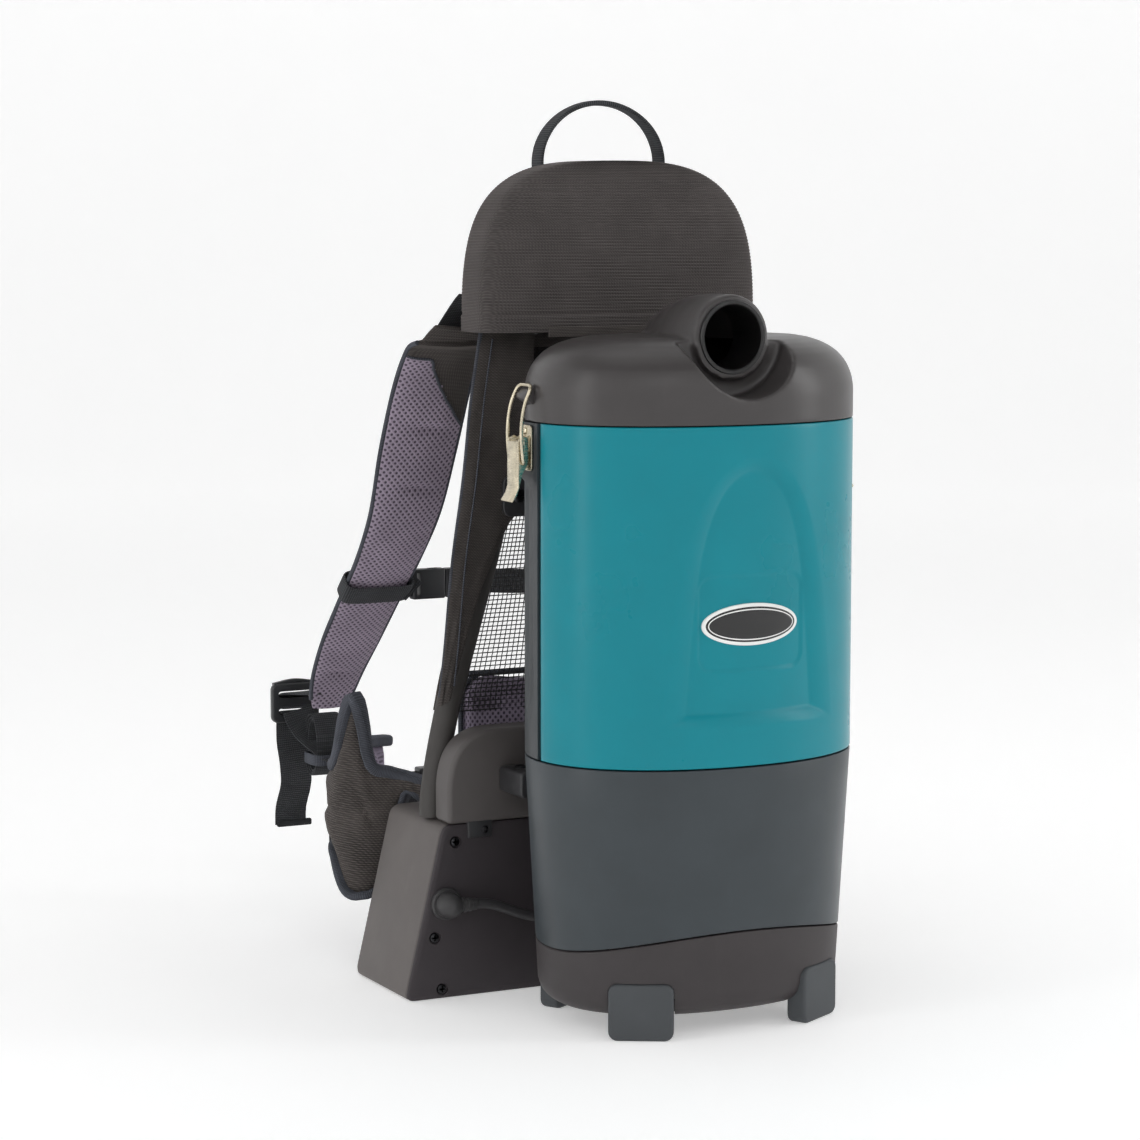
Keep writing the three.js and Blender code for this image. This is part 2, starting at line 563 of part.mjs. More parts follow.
function backPanel() {
  for (const [side, s] of SIDES) {
    const edge = [...SLEEVE_OUTER, ...SLEEVE_INNER].map(([x, z]) => [-s * x, z]);
    addPart(`frame_sleeve_${side}`, prismY(outline(edge), 113, 121.2), finish(0x3c3834, 0.9));
  }
  const half = [[-60, 440], [-72, 345], [-95, 260], [-112, 200], [-114, 186]];
  const panel = outline([...half, ...half.map(([x, z]) => [-x, z]).reverse()]);
  addPart("back_mesh_panel", prismY(panel, 142.4, 144.4), finish(0x5a5560, 0.9));
  addPart("lumbar_pad", prismY(roundedBox(-95, 95, 124, 212, 18), 146, 164, 4), finish(0x968a9b, 0.95));
}

// A padded strip: at each station its middle, its half-width along X and the way it runs in Y and Z.
const STRAP_ROUTE = [
  [152, 438, 29], [168, 433, 29], [190, 408, 29], [215, 362, 29], [238, 316, 27], [268, 280, 25],
  [304, 246, 24], [337, 214, 23], [364, 185, 20], [379, 164, 14],
];

function strap(s) {
  const last = STRAP_ROUTE.length - 1;
  const rings = STRAP_ROUTE.map(([y, z, half], i) => {
    const [before, after] = [STRAP_ROUTE[Math.max(0, i - 1)], STRAP_ROUTE[Math.min(last, i + 1)]];
    const run = vec(0, after[0] - before[0], after[1] - before[1]).normalize();
    const out = vec(0, -run.z, run.y);
    const [h, edge] = [STRAP.thick / 2, 4];
    const section = [
      [-half, -h + edge], [-half + edge, -h], [half - edge, -h], [half, -h + edge],
      [half, h - edge], [half - edge, h], [-half + edge, h], [-half, h - edge],
    ];
    return section.map(([u, v]) => vec(s * STRAP.x + u, y + out.y * v, z + out.z * v));
  });
  return loft(rings);
}

// Stations of a hip belt wing: middle of the wing in plan, then its lower and upper edge.
const BELT_ROUTE = [
  [-96, 170, 119, 131], [-106, 187, 119, 134], [-115, 200, 119, 137], [-124, 206, 62, 140],
  [-137, 210, 50, 146], [-142, 213, 48, 178], [-145.5, 218, 47, 193], [-148, 225, 50, 180],
  [-149, 232, 58, 157], [-148, 242, 70, 143], [-144, 255, 76, 140], [-122, 296, 72, 138],
  [-103, 322, 68, 137], [-82, 347, 68, 137], [-58, 366, 70, 134],
];

function beltWing(s) {
  const last = BELT_ROUTE.length - 1;
  const half = 6;
  const rings = BELT_ROUTE.map(([x, y, low, high], i) => {
    const [before, after] = [BELT_ROUTE[Math.max(0, i - 1)], BELT_ROUTE[Math.min(last, i + 1)]];
    const side = vec(after[1] - before[1], before[0] - after[0], 0).normalize().multiplyScalar(half);
    const corner = (k, z) => vec(-s * (x + k * side.x), y + k * side.y, z);
    return [corner(-0.5, low), corner(0.5, low), corner(1, low + 4), corner(1, high - 4),
      corner(0.5, high), corner(-0.5, high), corner(-1, high - 4), corner(-1, low + 4)];
  });
  return loft(rings);
}

function ladderLock(s) {
  const body = roundedBox(s * 112 - 19, s * 112 + 19, 142, 172, 4);
  const slots = [[148, 153], [161, 166]].map(([z0, z1]) =>
    block(s * 112 - 14, s * 112 + 14, 400, 430, z0, z1),
  );
  return cut(prismY(body, 410, 416, 4), ...slots);
}

// A side-release buckle lying along X, its socket on the -X side and its plug on the +X side.
function buckle(prefix, x, y, z, size, plugLength) {
  const [halfY, halfZ, deep] = [size * 0.4, size, size * 1.6];
  const socket = cut(
    block(x - deep - 8, x, y - halfY, y + halfY, z - halfZ, z + halfZ),
    block(x - deep, x + 1, y - halfY + 2, y + halfY - 2, z - halfZ + 2.5, z + halfZ - 2.5),
  );
  addPart(`${prefix}_buckle_socket`, socket, finish(0x18181a, 0.45));
  const prong = (z0, z1) => block(x - deep + 1, x + 2, y - halfY + 2.5, y + halfY - 2.5, z0, z1);
  const plug = join(
    block(x + GAP, x + plugLength, y - halfY + 0.5, y + halfY - 0.5, z - halfZ + 1, z + halfZ - 1),
    prong(z - halfZ + 3, z - halfZ * 0.55),
    prong(z - halfZ * 0.18, z + halfZ * 0.18),
    prong(z + halfZ * 0.55, z + halfZ - 3),
  );
  addPart(`${prefix}_buckle_plug`, plug, finish(0x18181a, 0.45));
}

function harness() {
  for (const [side, s] of SIDES) {
    addPart(`shoulder_strap_${side}`, strap(s), finish(0x968a9b, 0.95));
    addPart(`hip_belt_${side}`, beltWing(s), finish(0x33312f, 0.9));
    addPart(`ladder_lock_${side}`, ladderLock(s), finish(0x18181a, 0.45));
  }
  buckle("belt", 2, BELT_BUCKLE.y, BELT_BUCKLE.z, 15, 22);
  buckle("sternum", CHEST_BUCKLE.x, CHEST_BUCKLE.y, CHEST_BUCKLE.z, 11, 15);
}

canister();
lowerBody();
lid();
insides();
latches();
batteryBox();
lead();
frame();
hood();
handle();
backPanel();
harness();

export default machine;
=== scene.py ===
import math

import bmesh
import bpy
import numpy as np
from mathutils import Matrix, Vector


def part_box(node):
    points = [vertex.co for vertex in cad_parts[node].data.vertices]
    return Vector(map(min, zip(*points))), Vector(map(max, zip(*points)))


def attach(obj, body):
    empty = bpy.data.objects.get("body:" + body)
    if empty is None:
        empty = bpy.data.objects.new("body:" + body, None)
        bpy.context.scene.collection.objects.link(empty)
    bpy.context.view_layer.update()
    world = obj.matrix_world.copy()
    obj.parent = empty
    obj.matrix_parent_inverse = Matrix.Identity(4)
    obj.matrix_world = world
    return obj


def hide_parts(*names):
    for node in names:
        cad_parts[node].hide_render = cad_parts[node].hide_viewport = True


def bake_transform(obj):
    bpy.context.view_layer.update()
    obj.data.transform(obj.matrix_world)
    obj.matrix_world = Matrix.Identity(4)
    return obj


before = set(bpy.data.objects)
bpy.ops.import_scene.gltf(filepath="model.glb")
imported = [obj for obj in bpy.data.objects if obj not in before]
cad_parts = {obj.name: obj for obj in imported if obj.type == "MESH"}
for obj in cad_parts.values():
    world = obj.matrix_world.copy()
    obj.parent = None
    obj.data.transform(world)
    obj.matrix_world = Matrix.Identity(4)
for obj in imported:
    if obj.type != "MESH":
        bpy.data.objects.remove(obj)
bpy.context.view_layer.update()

# Lengths below are millimetres in the machine's own axes: X across, -Y the outer face, +Y the
# wearer's side, Z up, with X = Y = 0 on the canister's axis. The frame's origin lies MIDDLE behind it.
MIDDLE = 165.0
SIDES = (("left", -1), ("right", 1))

CAN_WIDE, CAN_DEEP, CAN_POWER = 111.0, 82.0, 2.15
CAN_LOW, CAN_HIGH = 176.0, 393.0
TAPER = 7 / 126
ARCH_TOP, ARCH_RADIUS = 68.5, 370.0
COVER_EDGE_Y = -1.3
RELIEF_X = 4.0
PORT_Z = 447.0
LATCH_Y = 11.0
BOX_LOW, BOX_TOP, BOX_SLOPE = 159.0, 118.0, 28 / 118
BOX_FRONT, BOX_BACK = 100.0, 193.0
CHARGE_SOCKET = (166, 72)
TUBE_Y, TUBE_RADIUS = 130.0, 8.4
HOOD_Y, HOOD_LOW, HOOD_TALL, HOOD_WIDE = 114.0, 446.4, 113.2, 104.0
STRAP_X, LADDER_X = 97.0, 112.0
BELT_BUCKLE, STERNUM_BUCKLE = (371, 92), (291, 257)


def node_mm(name):
    """A CAD node's two corners in the machine's own millimetres."""
    low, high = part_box(name)
    shift = np.array((0, MIDDLE, 0))
    return np.array(low) * 1000 + shift, np.array(high) * 1000 + shift


def metres(points):
    """Points in the machine's own millimetres as points in the frame, in metres."""
    return (np.asarray(points, float) - (0, MIDDLE, 0)) / 1000


def unit(rows):
    """Each row as a direction of length one."""
    return rows / np.linalg.norm(rows, axis=1)[:, None]


def linked(name, data):
    """A new object in the scene that shows the given data."""
    obj = bpy.data.objects.new(name, data)
    bpy.context.collection.objects.link(obj)
    return obj


def full_turn(steps):
    """Angles round one turn, without its repeated last one."""
    return np.linspace(0, 2 * math.pi, steps, endpoint=False)


def stacked(*parts):
    """Arrays, or numbers that hold all along them, as the columns of one array of points."""
    return np.stack(np.broadcast_arrays(*parts), axis=1)


# ---------------------------------------------------------------- camera
def place_camera():
    """The photo's camera, as fitted to the canister, the box and the floor."""
    data = bpy.data.cameras.new("camera")
    data.lens, data.sensor_width, data.clip_end = 102.77, 36, 60
    camera = linked("camera", data)
    camera.location = (-1.01719, -2.01594, 0.53225)
    pitch = math.radians(6.459)
    ahead = Vector((0.4490 * math.cos(pitch), 0.8935 * math.cos(pitch), -math.sin(pitch)))
    camera.rotation_euler = ahead.to_track_quat("-Z", "Y").to_euler()
    bpy.context.scene.camera = camera


# ---------------------------------------------------------------- material helpers
def linear(colour):
    """An sRGB colour of 0-255 numbers as the linear RGBA that a shader takes."""
    parts = [c / 255 for c in colour]
    return (*[c / 12.92 if c <= 0.04045 else ((c + 0.055) / 1.055) ** 2.4 for c in parts], 1)


def shade(colour, factor):
    """A colour made darker or paler by a factor."""
    return tuple(min(255, c * factor) for c in colour)


def node(tree, kind, inputs=None, **settings):
    made = tree.nodes.new(kind)
    for key, value in settings.items():
        setattr(made, key, value)
    for key, value in (inputs or {}).items():
        if isinstance(value, bpy.types.NodeSocket):
            tree.links.new(value, made.inputs[key])
        else:
            made.inputs[key].default_value = value
    return made


def blank(name, roughness, metallic=0.0, sheen=0.0, coat=0.0, specular=0.5):
    mat = bpy.data.materials.new(name)
    mat.use_nodes = True
    shader = mat.node_tree.nodes["Principled BSDF"]
    values = {"Roughness": roughness, "Metallic": metallic, "Sheen Weight": sheen, "Sheen Roughness": 0.5,
              "Coat Weight": coat, "Specular IOR Level": specular}
    for key, value in values.items():
        shader.inputs[key].default_value = value
    return mat, mat.node_tree, shader


def place(tree, scale=(1, 1, 1), rotation=0.0, uv=False):
    """Object (or UV) coordinates in metres, scaled and turned about Z."""
    source = node(tree, "ShaderNodeTexCoord").outputs["UV" if uv else "Object"]
    inputs = {"Vector": source, "Scale": scale, "Rotation": (0, 0, rotation)}
    return node(tree, "ShaderNodeMapping", inputs).outputs["Vector"]


def noise(tree, at, scale, detail=4.0, rough=0.55):
    inputs = {"Vector": at, "Scale": scale, "Detail": detail, "Roughness": rough}
    return node(tree, "ShaderNodeTexNoise", inputs).outputs["Fac"]


def ranged(tree, value, low, high, out_low, out_high):
    inputs = {"Value": value, "From Min": low, "From Max": high, "To Min": out_low, "To Max": out_high}
    return node(tree, "ShaderNodeMapRange", inputs).outputs["Result"]


def maths(tree, operation, first, second=0.0):
    return node(tree, "ShaderNodeMath", {0: first, 1: second}, operation=operation).outputs["Value"]


def mixed(tree, amount, first, second):
    made = node(tree, "ShaderNodeMix", {"Factor": amount}, data_type="RGBA")
    for key, value in (("A", first), ("B", second)):
        socket = [s for s in made.inputs if s.name == key and s.type == "RGBA"][0]
        if isinstance(value, bpy.types.NodeSocket):
            tree.links.new(value, socket)
        else:
            socket.default_value = value
    return [s for s in made.outputs if s.type == "RGBA"][0]


def bump(tree, shader, height, strength, distance, under=None):
    inputs = {"Height": height, "Strength": strength, "Distance": distance}
    if under is not None:
        inputs["Normal"] = under
    out = node(tree, "ShaderNodeBump", inputs).outputs["Normal"]
    tree.links.new(out, shader.inputs["Normal"])
    return out


def band_wave(tree, at, pitch, direction):
    """A sine ridge pattern whose lines are `pitch` metres apart."""
    inputs = {"Vector": at, "Scale": 0.314159 / pitch, "Distortion": 0.35, "Detail": 1.0, "Detail Scale": 1.5}
    return node(tree, "ShaderNodeTexWave", inputs, bands_direction=direction).outputs["Fac"]


# ---------------------------------------------------------------- materials
def plastic(name, colour, roughness, grain=1100.0, grain_depth=0.00006, coat=0.0, scuffs=0.5, mottle=0.03,
            specular=0.5):
    """Moulded plastic: spark-eroded grain, faint mottling, and rubbed, slightly paler streaks."""
    mat, tree, shader = blank(name, roughness, coat=coat, specular=specular)
    shader.inputs["Coat Roughness"].default_value = 0.25
    at = place(tree)
    patches = ranged(tree, noise(tree, at, 26.0, 5.0), 0.35, 0.65, 0, 1)
    tint = mixed(tree, patches, linear(shade(colour, 1 - mottle)), linear(shade(colour, 1 + mottle)))
    rub = noise(tree, place(tree, (60, 60, 9)), 1.0, 6.0, 0.7)
    worn = ranged(tree, rub, 0.62, 0.78, 0, 0.22 * scuffs)
    tint = mixed(tree, worn, tint, linear(shade(colour, 1.5)))
    tree.links.new(tint, shader.inputs["Base Color"])
    gloss = ranged(tree, noise(tree, at, 14.0, 4.0), 0.3, 0.7, roughness - 0.05, roughness + 0.06)
    tree.links.new(gloss, shader.inputs["Roughness"])
    bump(tree, shader, noise(tree, at, grain, 2.0), 0.5, grain_depth)
    return mat


def metal(name, colour, roughness):
    """Plated steel with fine drawn lines and soft tarnish."""
    mat, tree, shader = blank(name, roughness, metallic=1.0)
    lines = noise(tree, place(tree, (30, 30, 900)), 3.0, 4.0)
    tarnish = noise(tree, place(tree), 90.0, 5.0)
    tint = mixed(tree, ranged(tree, tarnish, 0.4, 0.7, 0, 1), linear(colour), linear(shade(colour, 0.8)))
    tree.links.new(tint, shader.inputs["Base Color"])
    tree.links.new(ranged(tree, lines, 0.3, 0.7, roughness - 0.08, roughness + 0.1),
                   shader.inputs["Roughness"])
    bump(tree, shader, lines, 0.25, 0.00005)
    return mat


def cloth(name, colour, pitch, depth=0.00025, uv=False, contrast=0.3, slant=0.0, tone=0.25):
    """Plain weave: crossed yarns as fine bumps, painted light on each yarn's crown and painted shade in the
    hollows between, and a faded, dusty mottle.
    """
    mat, tree, shader = blank(name, 0.88, sheen=0.25, specular=0.25)
    shader.inputs["Sheen Tint"].default_value = linear(shade(colour, 2.2))
    at = place(tree, rotation=slant, uv=uv)
    warp = band_wave(tree, at, pitch, "X" if uv else "DIAGONAL")
    weft = band_wave(tree, at, pitch, "Y" if uv else "Z")
    yarn = maths(tree, "ADD", maths(tree, "MULTIPLY", warp, weft), maths(tree, "MULTIPLY", weft, 0.6))
    dust = ranged(tree, noise(tree, place(tree), 35.0, 6.0, 0.65), 0.35, 0.7, 0, tone)
    # painted light and shade: the colour follows the yarn height, paler on the crowns and darker in the
    # hollows
    base = mixed(tree, ranged(tree, yarn, 0.1, 1.3, 0, 1),
                 linear(shade(colour, 1 - contrast)), linear(shade(colour, 1 + contrast)))
    tint = mixed(tree, dust, base, linear(shade(colour, 1.7)))
    tree.links.new(tint, shader.inputs["Base Color"])
    fuzz = noise(tree, place(tree), 1500.0, 2.0)
    fine = bump(tree, shader, fuzz, 0.3, 0.0001)
    bump(tree, shader, yarn, 0.8, depth, fine)
    return mat


def spacer_mesh(name, colour, uv=True):
    """Knitted spacer fabric: a staggered grid of oval openings, painted dark as shade, between soft, pale
    ribs.
    """
    # hole is painted shade: the mesh's own colour darkened for the dimness inside each opening
    hole, pitch = (70, 62, 74), 0.0031
    mat, tree, shader = blank(name, 0.85, sheen=0.35, specular=0.25)
    shader.inputs["Sheen Tint"].default_value = linear(shade(colour, 1.5))
    step = 1 / pitch
    if uv:
        source = place(tree, uv=True)
    else:
        turned_in_plan = place(tree, rotation=math.radians(45))
        upright = {"Vector": turned_in_plan, "Rotation": (math.radians(90), 0, 0), "Scale": (1.41, 1, 1)}
        source = node(tree, "ShaderNodeMapping", upright).outputs["Vector"]
    lattice = {"Vector": source, "Scale": (step, step * 0.86, step), "Rotation": (0, 0, math.radians(45))}
    at = node(tree, "ShaderNodeMapping", lattice).outputs["Vector"]
    cells = node(tree, "ShaderNodeTexVoronoi", {"Vector": at, "Scale": 1.0, "Randomness": 0.0},
                 voronoi_dimensions="2D").outputs["Distance"]
    opening_shade = ranged(tree, cells, 0.22, 0.36, 1, 0)
    fade = ranged(tree, noise(tree, place(tree), 30.0, 5.0), 0.35, 0.7, 0, 1)
    body = mixed(tree, fade, linear(shade(colour, 0.93)), linear(shade(colour, 1.07)))
    # painted shade in the openings, between the ribs
    tree.links.new(mixed(tree, opening_shade, body, linear(hole)), shader.inputs["Base Color"])
    fibres = bump(tree, shader, noise(tree, place(tree), 2200.0, 2.0), 0.35, 0.0001)
    bump(tree, shader, cells, 0.9, 0.0011, fibres)
    return mat


def paper(name, colour, fibre=160.0):
    """Pressed paper, card or felt: fibrous colour and relief."""
    mat, tree, shader = blank(name, 0.92, specular=0.2)
    at = place(tree, (1, 1, 0.4))
    grain = noise(tree, at, fibre, 6.0, 0.7)
    tree.links.new(mixed(tree, ranged(tree, grain, 0.3, 0.7, 0, 1), linear(shade(colour, 0.88)),
                         linear(shade(colour, 1.05))), shader.inputs["Base Color"])
    bump(tree, shader, grain, 0.5, 0.0003)
    return mat


# Every look: its maker, name, sRGB colour, roughness or fibre scale, and other settings.
LOOK_TABLE = (
    (plastic, "teal", (0, 127, 140), 0.3,
     dict(grain_depth=0.00003, scuffs=0.12, mottle=0.012, specular=0.28)),
    (plastic, "shell_grey", (54, 58, 61), 0.42, dict(specular=0.35)),
    (plastic, "housing_grey", (56, 62, 66), 0.38, dict(specular=0.35)),
    (plastic, "base_grey", (57, 53, 54), 0.55, dict(grain=800, grain_depth=0.0001, specular=0.35)),
    (plastic, "lid_grey", (61, 58, 58), 0.36, dict(coat=0.08, specular=0.4)),
    (plastic, "foot_rubber", (68, 71, 74), 0.62, dict(scuffs=1.0, specular=0.35)),
    # box_side and box_front are one grey plastic in two tones: the paler box_side is painted light on the
    # tray's lit side, the darker box_front painted shade on the front cover
    (plastic, "box_side", (92, 87, 85), 0.6, dict(grain=700, grain_depth=0.00012)),
    (plastic, "box_front", (55, 50, 53), 0.56, dict(grain=700, grain_depth=0.00012, specular=0.35)),
    (plastic, "port_black", (22, 21, 22), 0.4),
    (plastic, "badge", (14, 14, 15), 0.3, dict(grain_depth=0.00001, coat=0.3)),
    (plastic, "badge_rim", (232, 232, 230), 0.35, dict(grain_depth=0.00001, coat=0.3)),
    (plastic, "seal", (30, 30, 30), 0.85),
    (plastic, "deck", (46, 48, 50), 0.6),
    (plastic, "battery", (44, 47, 51), 0.6),
    (plastic, "gland", (50, 49, 50), 0.55),
    (plastic, "lead", (48, 47, 49), 0.5, dict(grain=500)),
    (plastic, "switch_black", (30, 30, 31), 0.45),
    (plastic, "rocker", (150, 34, 30), 0.35, dict(coat=0.3)),
    (plastic, "cap_rubber", (38, 38, 39), 0.8),
    (plastic, "frame_black", (56, 53, 51), 0.6, dict(grain=1600)),
    (plastic, "mount_plastic", (78, 74, 73), 0.5),
    (plastic, "bracket_black", (44, 44, 46), 0.45),
    (plastic, "buckle_black", (40, 41, 43), 0.38, dict(coat=0.1)),
    (plastic, "board", (31, 88, 52), 0.45, dict(grain=300)),
    (metal, "latch_steel", (214, 204, 180), 0.28),
    (metal, "motor_metal", (165, 168, 171), 0.3),
    (metal, "screw_steel", (60, 60, 62), 0.35),
    (paper, "bag_paper", (207, 196, 168)),
    (paper, "card", (176, 138, 90), 220.0),
    (paper, "filter_cloth", (228, 228, 224), 500.0),
    (cloth, "hood_fabric", (71, 67, 66), dict(pitch=0.0010, tone=0.12)),
    (cloth, "sleeve_fabric", (64, 60, 58), dict(pitch=0.0010, tone=0.15)),
    (cloth, "belt_fabric", (60, 56, 54), dict(pitch=0.0016, depth=0.0004, contrast=0.4, slant=0.5)),
    (cloth, "binding", (62, 64, 70), dict(pitch=0.0012, uv=True)),
    (cloth, "webbing", (50, 51, 53), dict(pitch=0.0016, depth=0.0003, uv=True, contrast=0.35)),
    (spacer_mesh, "air_mesh", (151, 139, 154)),
    (spacer_mesh, "pad_mesh", (139, 129, 146), dict(uv=False)),
    (plastic, "back_mesh", (38, 37, 38), 0.7),
)


def make_looks():
    """Every material, by name."""
    looks = {}
    for make, name, *given in LOOK_TABLE:
        more = given.pop() if isinstance(given[-1], dict) else {}
        looks[name] = make(name, *given, **more)
    return looks


# ---------------------------------------------------------------- mesh helpers
def mesh_object(name, points, faces, material, smooth_angle=35.0, uvs=None):
    data = bpy.data.meshes.new(name)
    data.from_pydata([tuple(p) for p in metres(points)], [], faces)
    data.materials.append(LOOKS[material])
    if uvs is not None:
        layer = data.uv_layers.new(name="UVMap")
        corners = np.array([v.vertex_index for v in data.loops])
        layer.data.foreach_set("uv", np.asarray(uvs, float)[corners].ravel())
    obj = linked(name, data)
    tidy_normals(obj, smooth_angle)
    return obj


def tidy_normals(obj, smooth_angle):
    """Faces turned outwards, and shading smooth up to the given angle between faces."""
    made = bmesh.new()
    made.from_mesh(obj.data)
    bmesh.ops.recalc_face_normals(made, faces=made.faces)
    made.to_mesh(obj.data)
    made.free()
    obj.data.polygons.foreach_set("use_smooth", [True] * len(obj.data.polygons))
    obj.data.set_sharp_from_angle(angle=math.radians(smooth_angle))


def applied(obj):
    """The object with its modifiers made real."""
    graph = bpy.context.evaluated_depsgraph_get()
    data = bpy.data.meshes.new_from_object(obj.evaluated_get(graph), depsgraph=graph)
    obj.modifiers.clear()
    old = obj.data
    obj.data = data
    data.name = obj.name
    bpy.data.meshes.remove(old)
    return obj


def combined(obj, others, operation="DIFFERENCE", smooth_angle=None):
    """The object with other solids cut from it or joined to it. The others are used up."""
    for other in others:
        change = obj.modifiers.new("bool", "BOOLEAN")
        change.operation, change.object, change.solver = operation, other, "EXACT"
    applied(obj)
    for other in others:
        bpy.data.objects.remove(other)
    if smooth_angle is not None:
        tidy_normals(obj, smooth_angle)
    return obj


def bevelled(obj, width, segments):
    """The object with its sharp edges rounded."""
    change = obj.modifiers.new("bevel", "BEVEL")
    change.width, change.segments = width / 1000, segments
    change.limit_method, change.angle_limit = "ANGLE", math.radians(40)
    change.use_clamp_overlap = True
    applied(obj)
    tidy_normals(obj, 50)
    return obj


def grid_faces(rows, columns, wrap_rows=False, wrap_columns=False):
    """Quads between a grid's points, row by row, either way closed on itself if asked."""
    faces = []
    for r in range(rows if wrap_rows else rows - 1):
        s = (r + 1) % rows
        for c in range(columns if wrap_columns else columns - 1):
            d = (c + 1) % columns
            faces.append((r * columns + c, r * columns + d, s * columns + d, s * columns + c))
    return faces


def lofted(name, rings, material, ends="both", ring_shape=False, smooth_angle=35.0, uvs=None):
    """A skin over rings with equal counts of points: closed at both ends or the last, or a ring."""
    rings = [np.asarray(r, float) for r in rings]
    rows, columns = len(rings), len(rings[0])
    faces = grid_faces(rows, columns, wrap_rows=ring_shape, wrap_columns=True)
    if not ring_shape:
        if ends == "both":
            faces.append(tuple(range(columns)))
        faces.append(tuple(range((rows - 1) * columns, rows * columns)))
    return mesh_object(name, np.vstack(rings), faces, material, smooth_angle, uvs)


def turned(name, profile, centre, axis, material, steps=64, smooth_angle=35.0, hollow=True):
    """A profile of (radius, along) points turned round an axis: a hollow ring, or a capped solid."""
    along = Vector(axis).normalized()
    side = along.orthogonal().normalized()
    other = along.cross(side)
    angles = full_turn(steps)
    spokes = np.outer(np.cos(angles), side) + np.outer(np.sin(angles), other)
    rings = [np.array(centre) + np.array(along) * height + spokes * radius for radius, height in profile]
    return lofted(name, rings, material, ring_shape=hollow, smooth_angle=smooth_angle)


def disc_stack(name, profile, centre, axis, material, steps=40):
    return turned(name, profile, centre, axis, material, steps, hollow=False)


def lengths_along(points):
    """How far along the line through the points each of them is."""
    steps = np.linalg.norm(np.diff(points[:, :3], axis=0), axis=1)
    return np.concatenate([[0], np.cumsum(steps)])


def smooth_path(points, count):
    """`count` evenly spaced points on a smooth curve through the given ones; extra columns follow."""
    given = np.array(points, float)
    ends = (2 * given[:1] - given[1:2], 2 * given[-1:] - given[-2:-1])
    padded = np.vstack([ends[0], given, ends[1]])
    fine = []
    for a, b, c, d in zip(padded, padded[1:], padded[2:], padded[3:]):
        for t in np.linspace(0, 1, 24, endpoint=False):
            bend = (2 * a - 5 * b + 4 * c - d) * t * t + (3 * b - a - 3 * c + d) * t**3
            fine.append(0.5 * (2 * b + (c - a) * t + bend))
    fine = np.array([*fine, given[-1]])
    gone = lengths_along(fine)
    wanted = np.linspace(0, gone[-1], count)
    return np.stack([np.interp(wanted, gone, fine[:, k]) for k in range(fine.shape[1])], axis=1)


def squarish(angles, power):
    """Unit superellipse points at the given angles: power 2 is round, more is squarer."""
    c, s = np.cos(angles), np.sin(angles)
    return np.sign(c) * np.abs(c) ** (2 / power), np.sign(s) * np.abs(s) ** (2 / power)


def sweep(name, path, section, side, material, smooth_angle=40.0):
    """A section swept along a path: across and through offsets, or a function of the point's number."""
    path = np.asarray(path, float)[:, :3]
    ahead = unit(np.gradient(path, axis=0))
    sides = np.broadcast_to(np.asarray(side, float), path.shape)
    sides = unit(sides - (sides * ahead).sum(1)[:, None] * ahead)
    through = np.cross(ahead, sides)
    gone = lengths_along(path)
    rings, uvs = [], []
    for k, point in enumerate(path):
        a, b = section(k) if callable(section) else section
        rings.append(point + np.outer(a, sides[k]) + np.outer(b, through[k]))
        uvs.append(stacked(a, gone[k]) / 1000)
    return lofted(name, rings, material, smooth_angle=smooth_angle, uvs=np.vstack(uvs))


def webbing(name, path, wide, side, thick=1.5, material="webbing", count=None, ripple=0.0):
    """A flat woven strap along a path, with rolled edges and a slight ripple."""
    points = smooth_path(path, count or max(12, int(len(path) * 12)))
    angles = full_turn(20)
    across, through = squarish(angles, 5)

    def section(k):
        lift = ripple * math.sin(k * 0.9) * (across * 0.4 + 0.6)
        return across * wide / 2, through * thick / 2 + lift

    return sweep(name, points, section, side, material)


def rod(name, path, radius, material, count=None, sides=14):
    """A round bar or cord along a smooth path."""
    points = smooth_path(path, count or max(8, len(path) * 8))
    ahead = points[-1, :3] - points[0, :3]
    side = Vector(ahead).orthogonal().normalized() if np.linalg.norm(ahead) > 1e-6 else Vector((0, 0, 1))
    angles = full_turn(sides)
    return sweep(name, points, (radius * np.cos(angles), radius * np.sin(angles)), side, material)


def slab(name, outline, low, high, axis, material, bevel=1.0, segments=3):
    """A flat outline of (u, v) points, drawn along an axis from low to high, with rounded edges."""
    place_at = {
        "x": lambda u, v, w: (w, u, v),
        "y": lambda u, v, w: (u, w, v),
        "z": lambda u, v, w: (u, v, w),
    }[axis]
    rings = [[place_at(u, v, w) for u, v in outline] for w in (low, high)]
    obj = lofted(name, rings, material)
    return bevelled(obj, bevel, segments) if bevel else obj


def box_of(name, corner, opposite, material, bevel=0.8, segments=3):
    (x0, y0, z0), (x1, y1, z1) = corner, opposite
    outline = [(x0, y0), (x1, y0), (x1, y1), (x0, y1)]
    return slab(name, outline, z0, z1, "z", material, bevel, segments)


def rounded_outline(u0, u1, v0, v1, radius, steps=6):
    """A rectangle of (u, v) points with round corners."""
    points = []
    corners = ((u1, v0, -90), (u1, v1, 0), (u0, v1, 90), (u0, v0, 180))
    for u, v, turn in corners:
        cu = u - radius if u == u1 else u + radius
        cv = v - radius if v == v1 else v + radius
        for a in np.linspace(turn, turn + 90, steps):
            points.append((cu + radius * math.cos(math.radians(a)),
                           cv + radius * math.sin(math.radians(a))))
    return points


def joined(name, parts):
    """Several meshes as one piece, each keeping its own material."""
    bpy.ops.object.select_all(action="DESELECT")
    for part in parts:
        part.select_set(True)
    bpy.context.view_layer.objects.active = parts[0]
    bpy.ops.object.join()
    parts[0].name = name
    parts[0].data.name = name
    return parts[0]


def add(obj, slot, *nodes, body="frame"):
    """Puts a finished piece on its body and hides the CAD nodes it stands for; the finish it is given is not
    used.
    """
    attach(obj, body)
    if nodes:
        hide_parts(*nodes)
    return obj


def smoothstep(value, low, high):
    """0 below low, 1 above high, and a smooth rise between them."""
    t = np.clip((np.asarray(value, float) - low) / (high - low), 0, 1)
    return t * t * (3 - 2 * t)


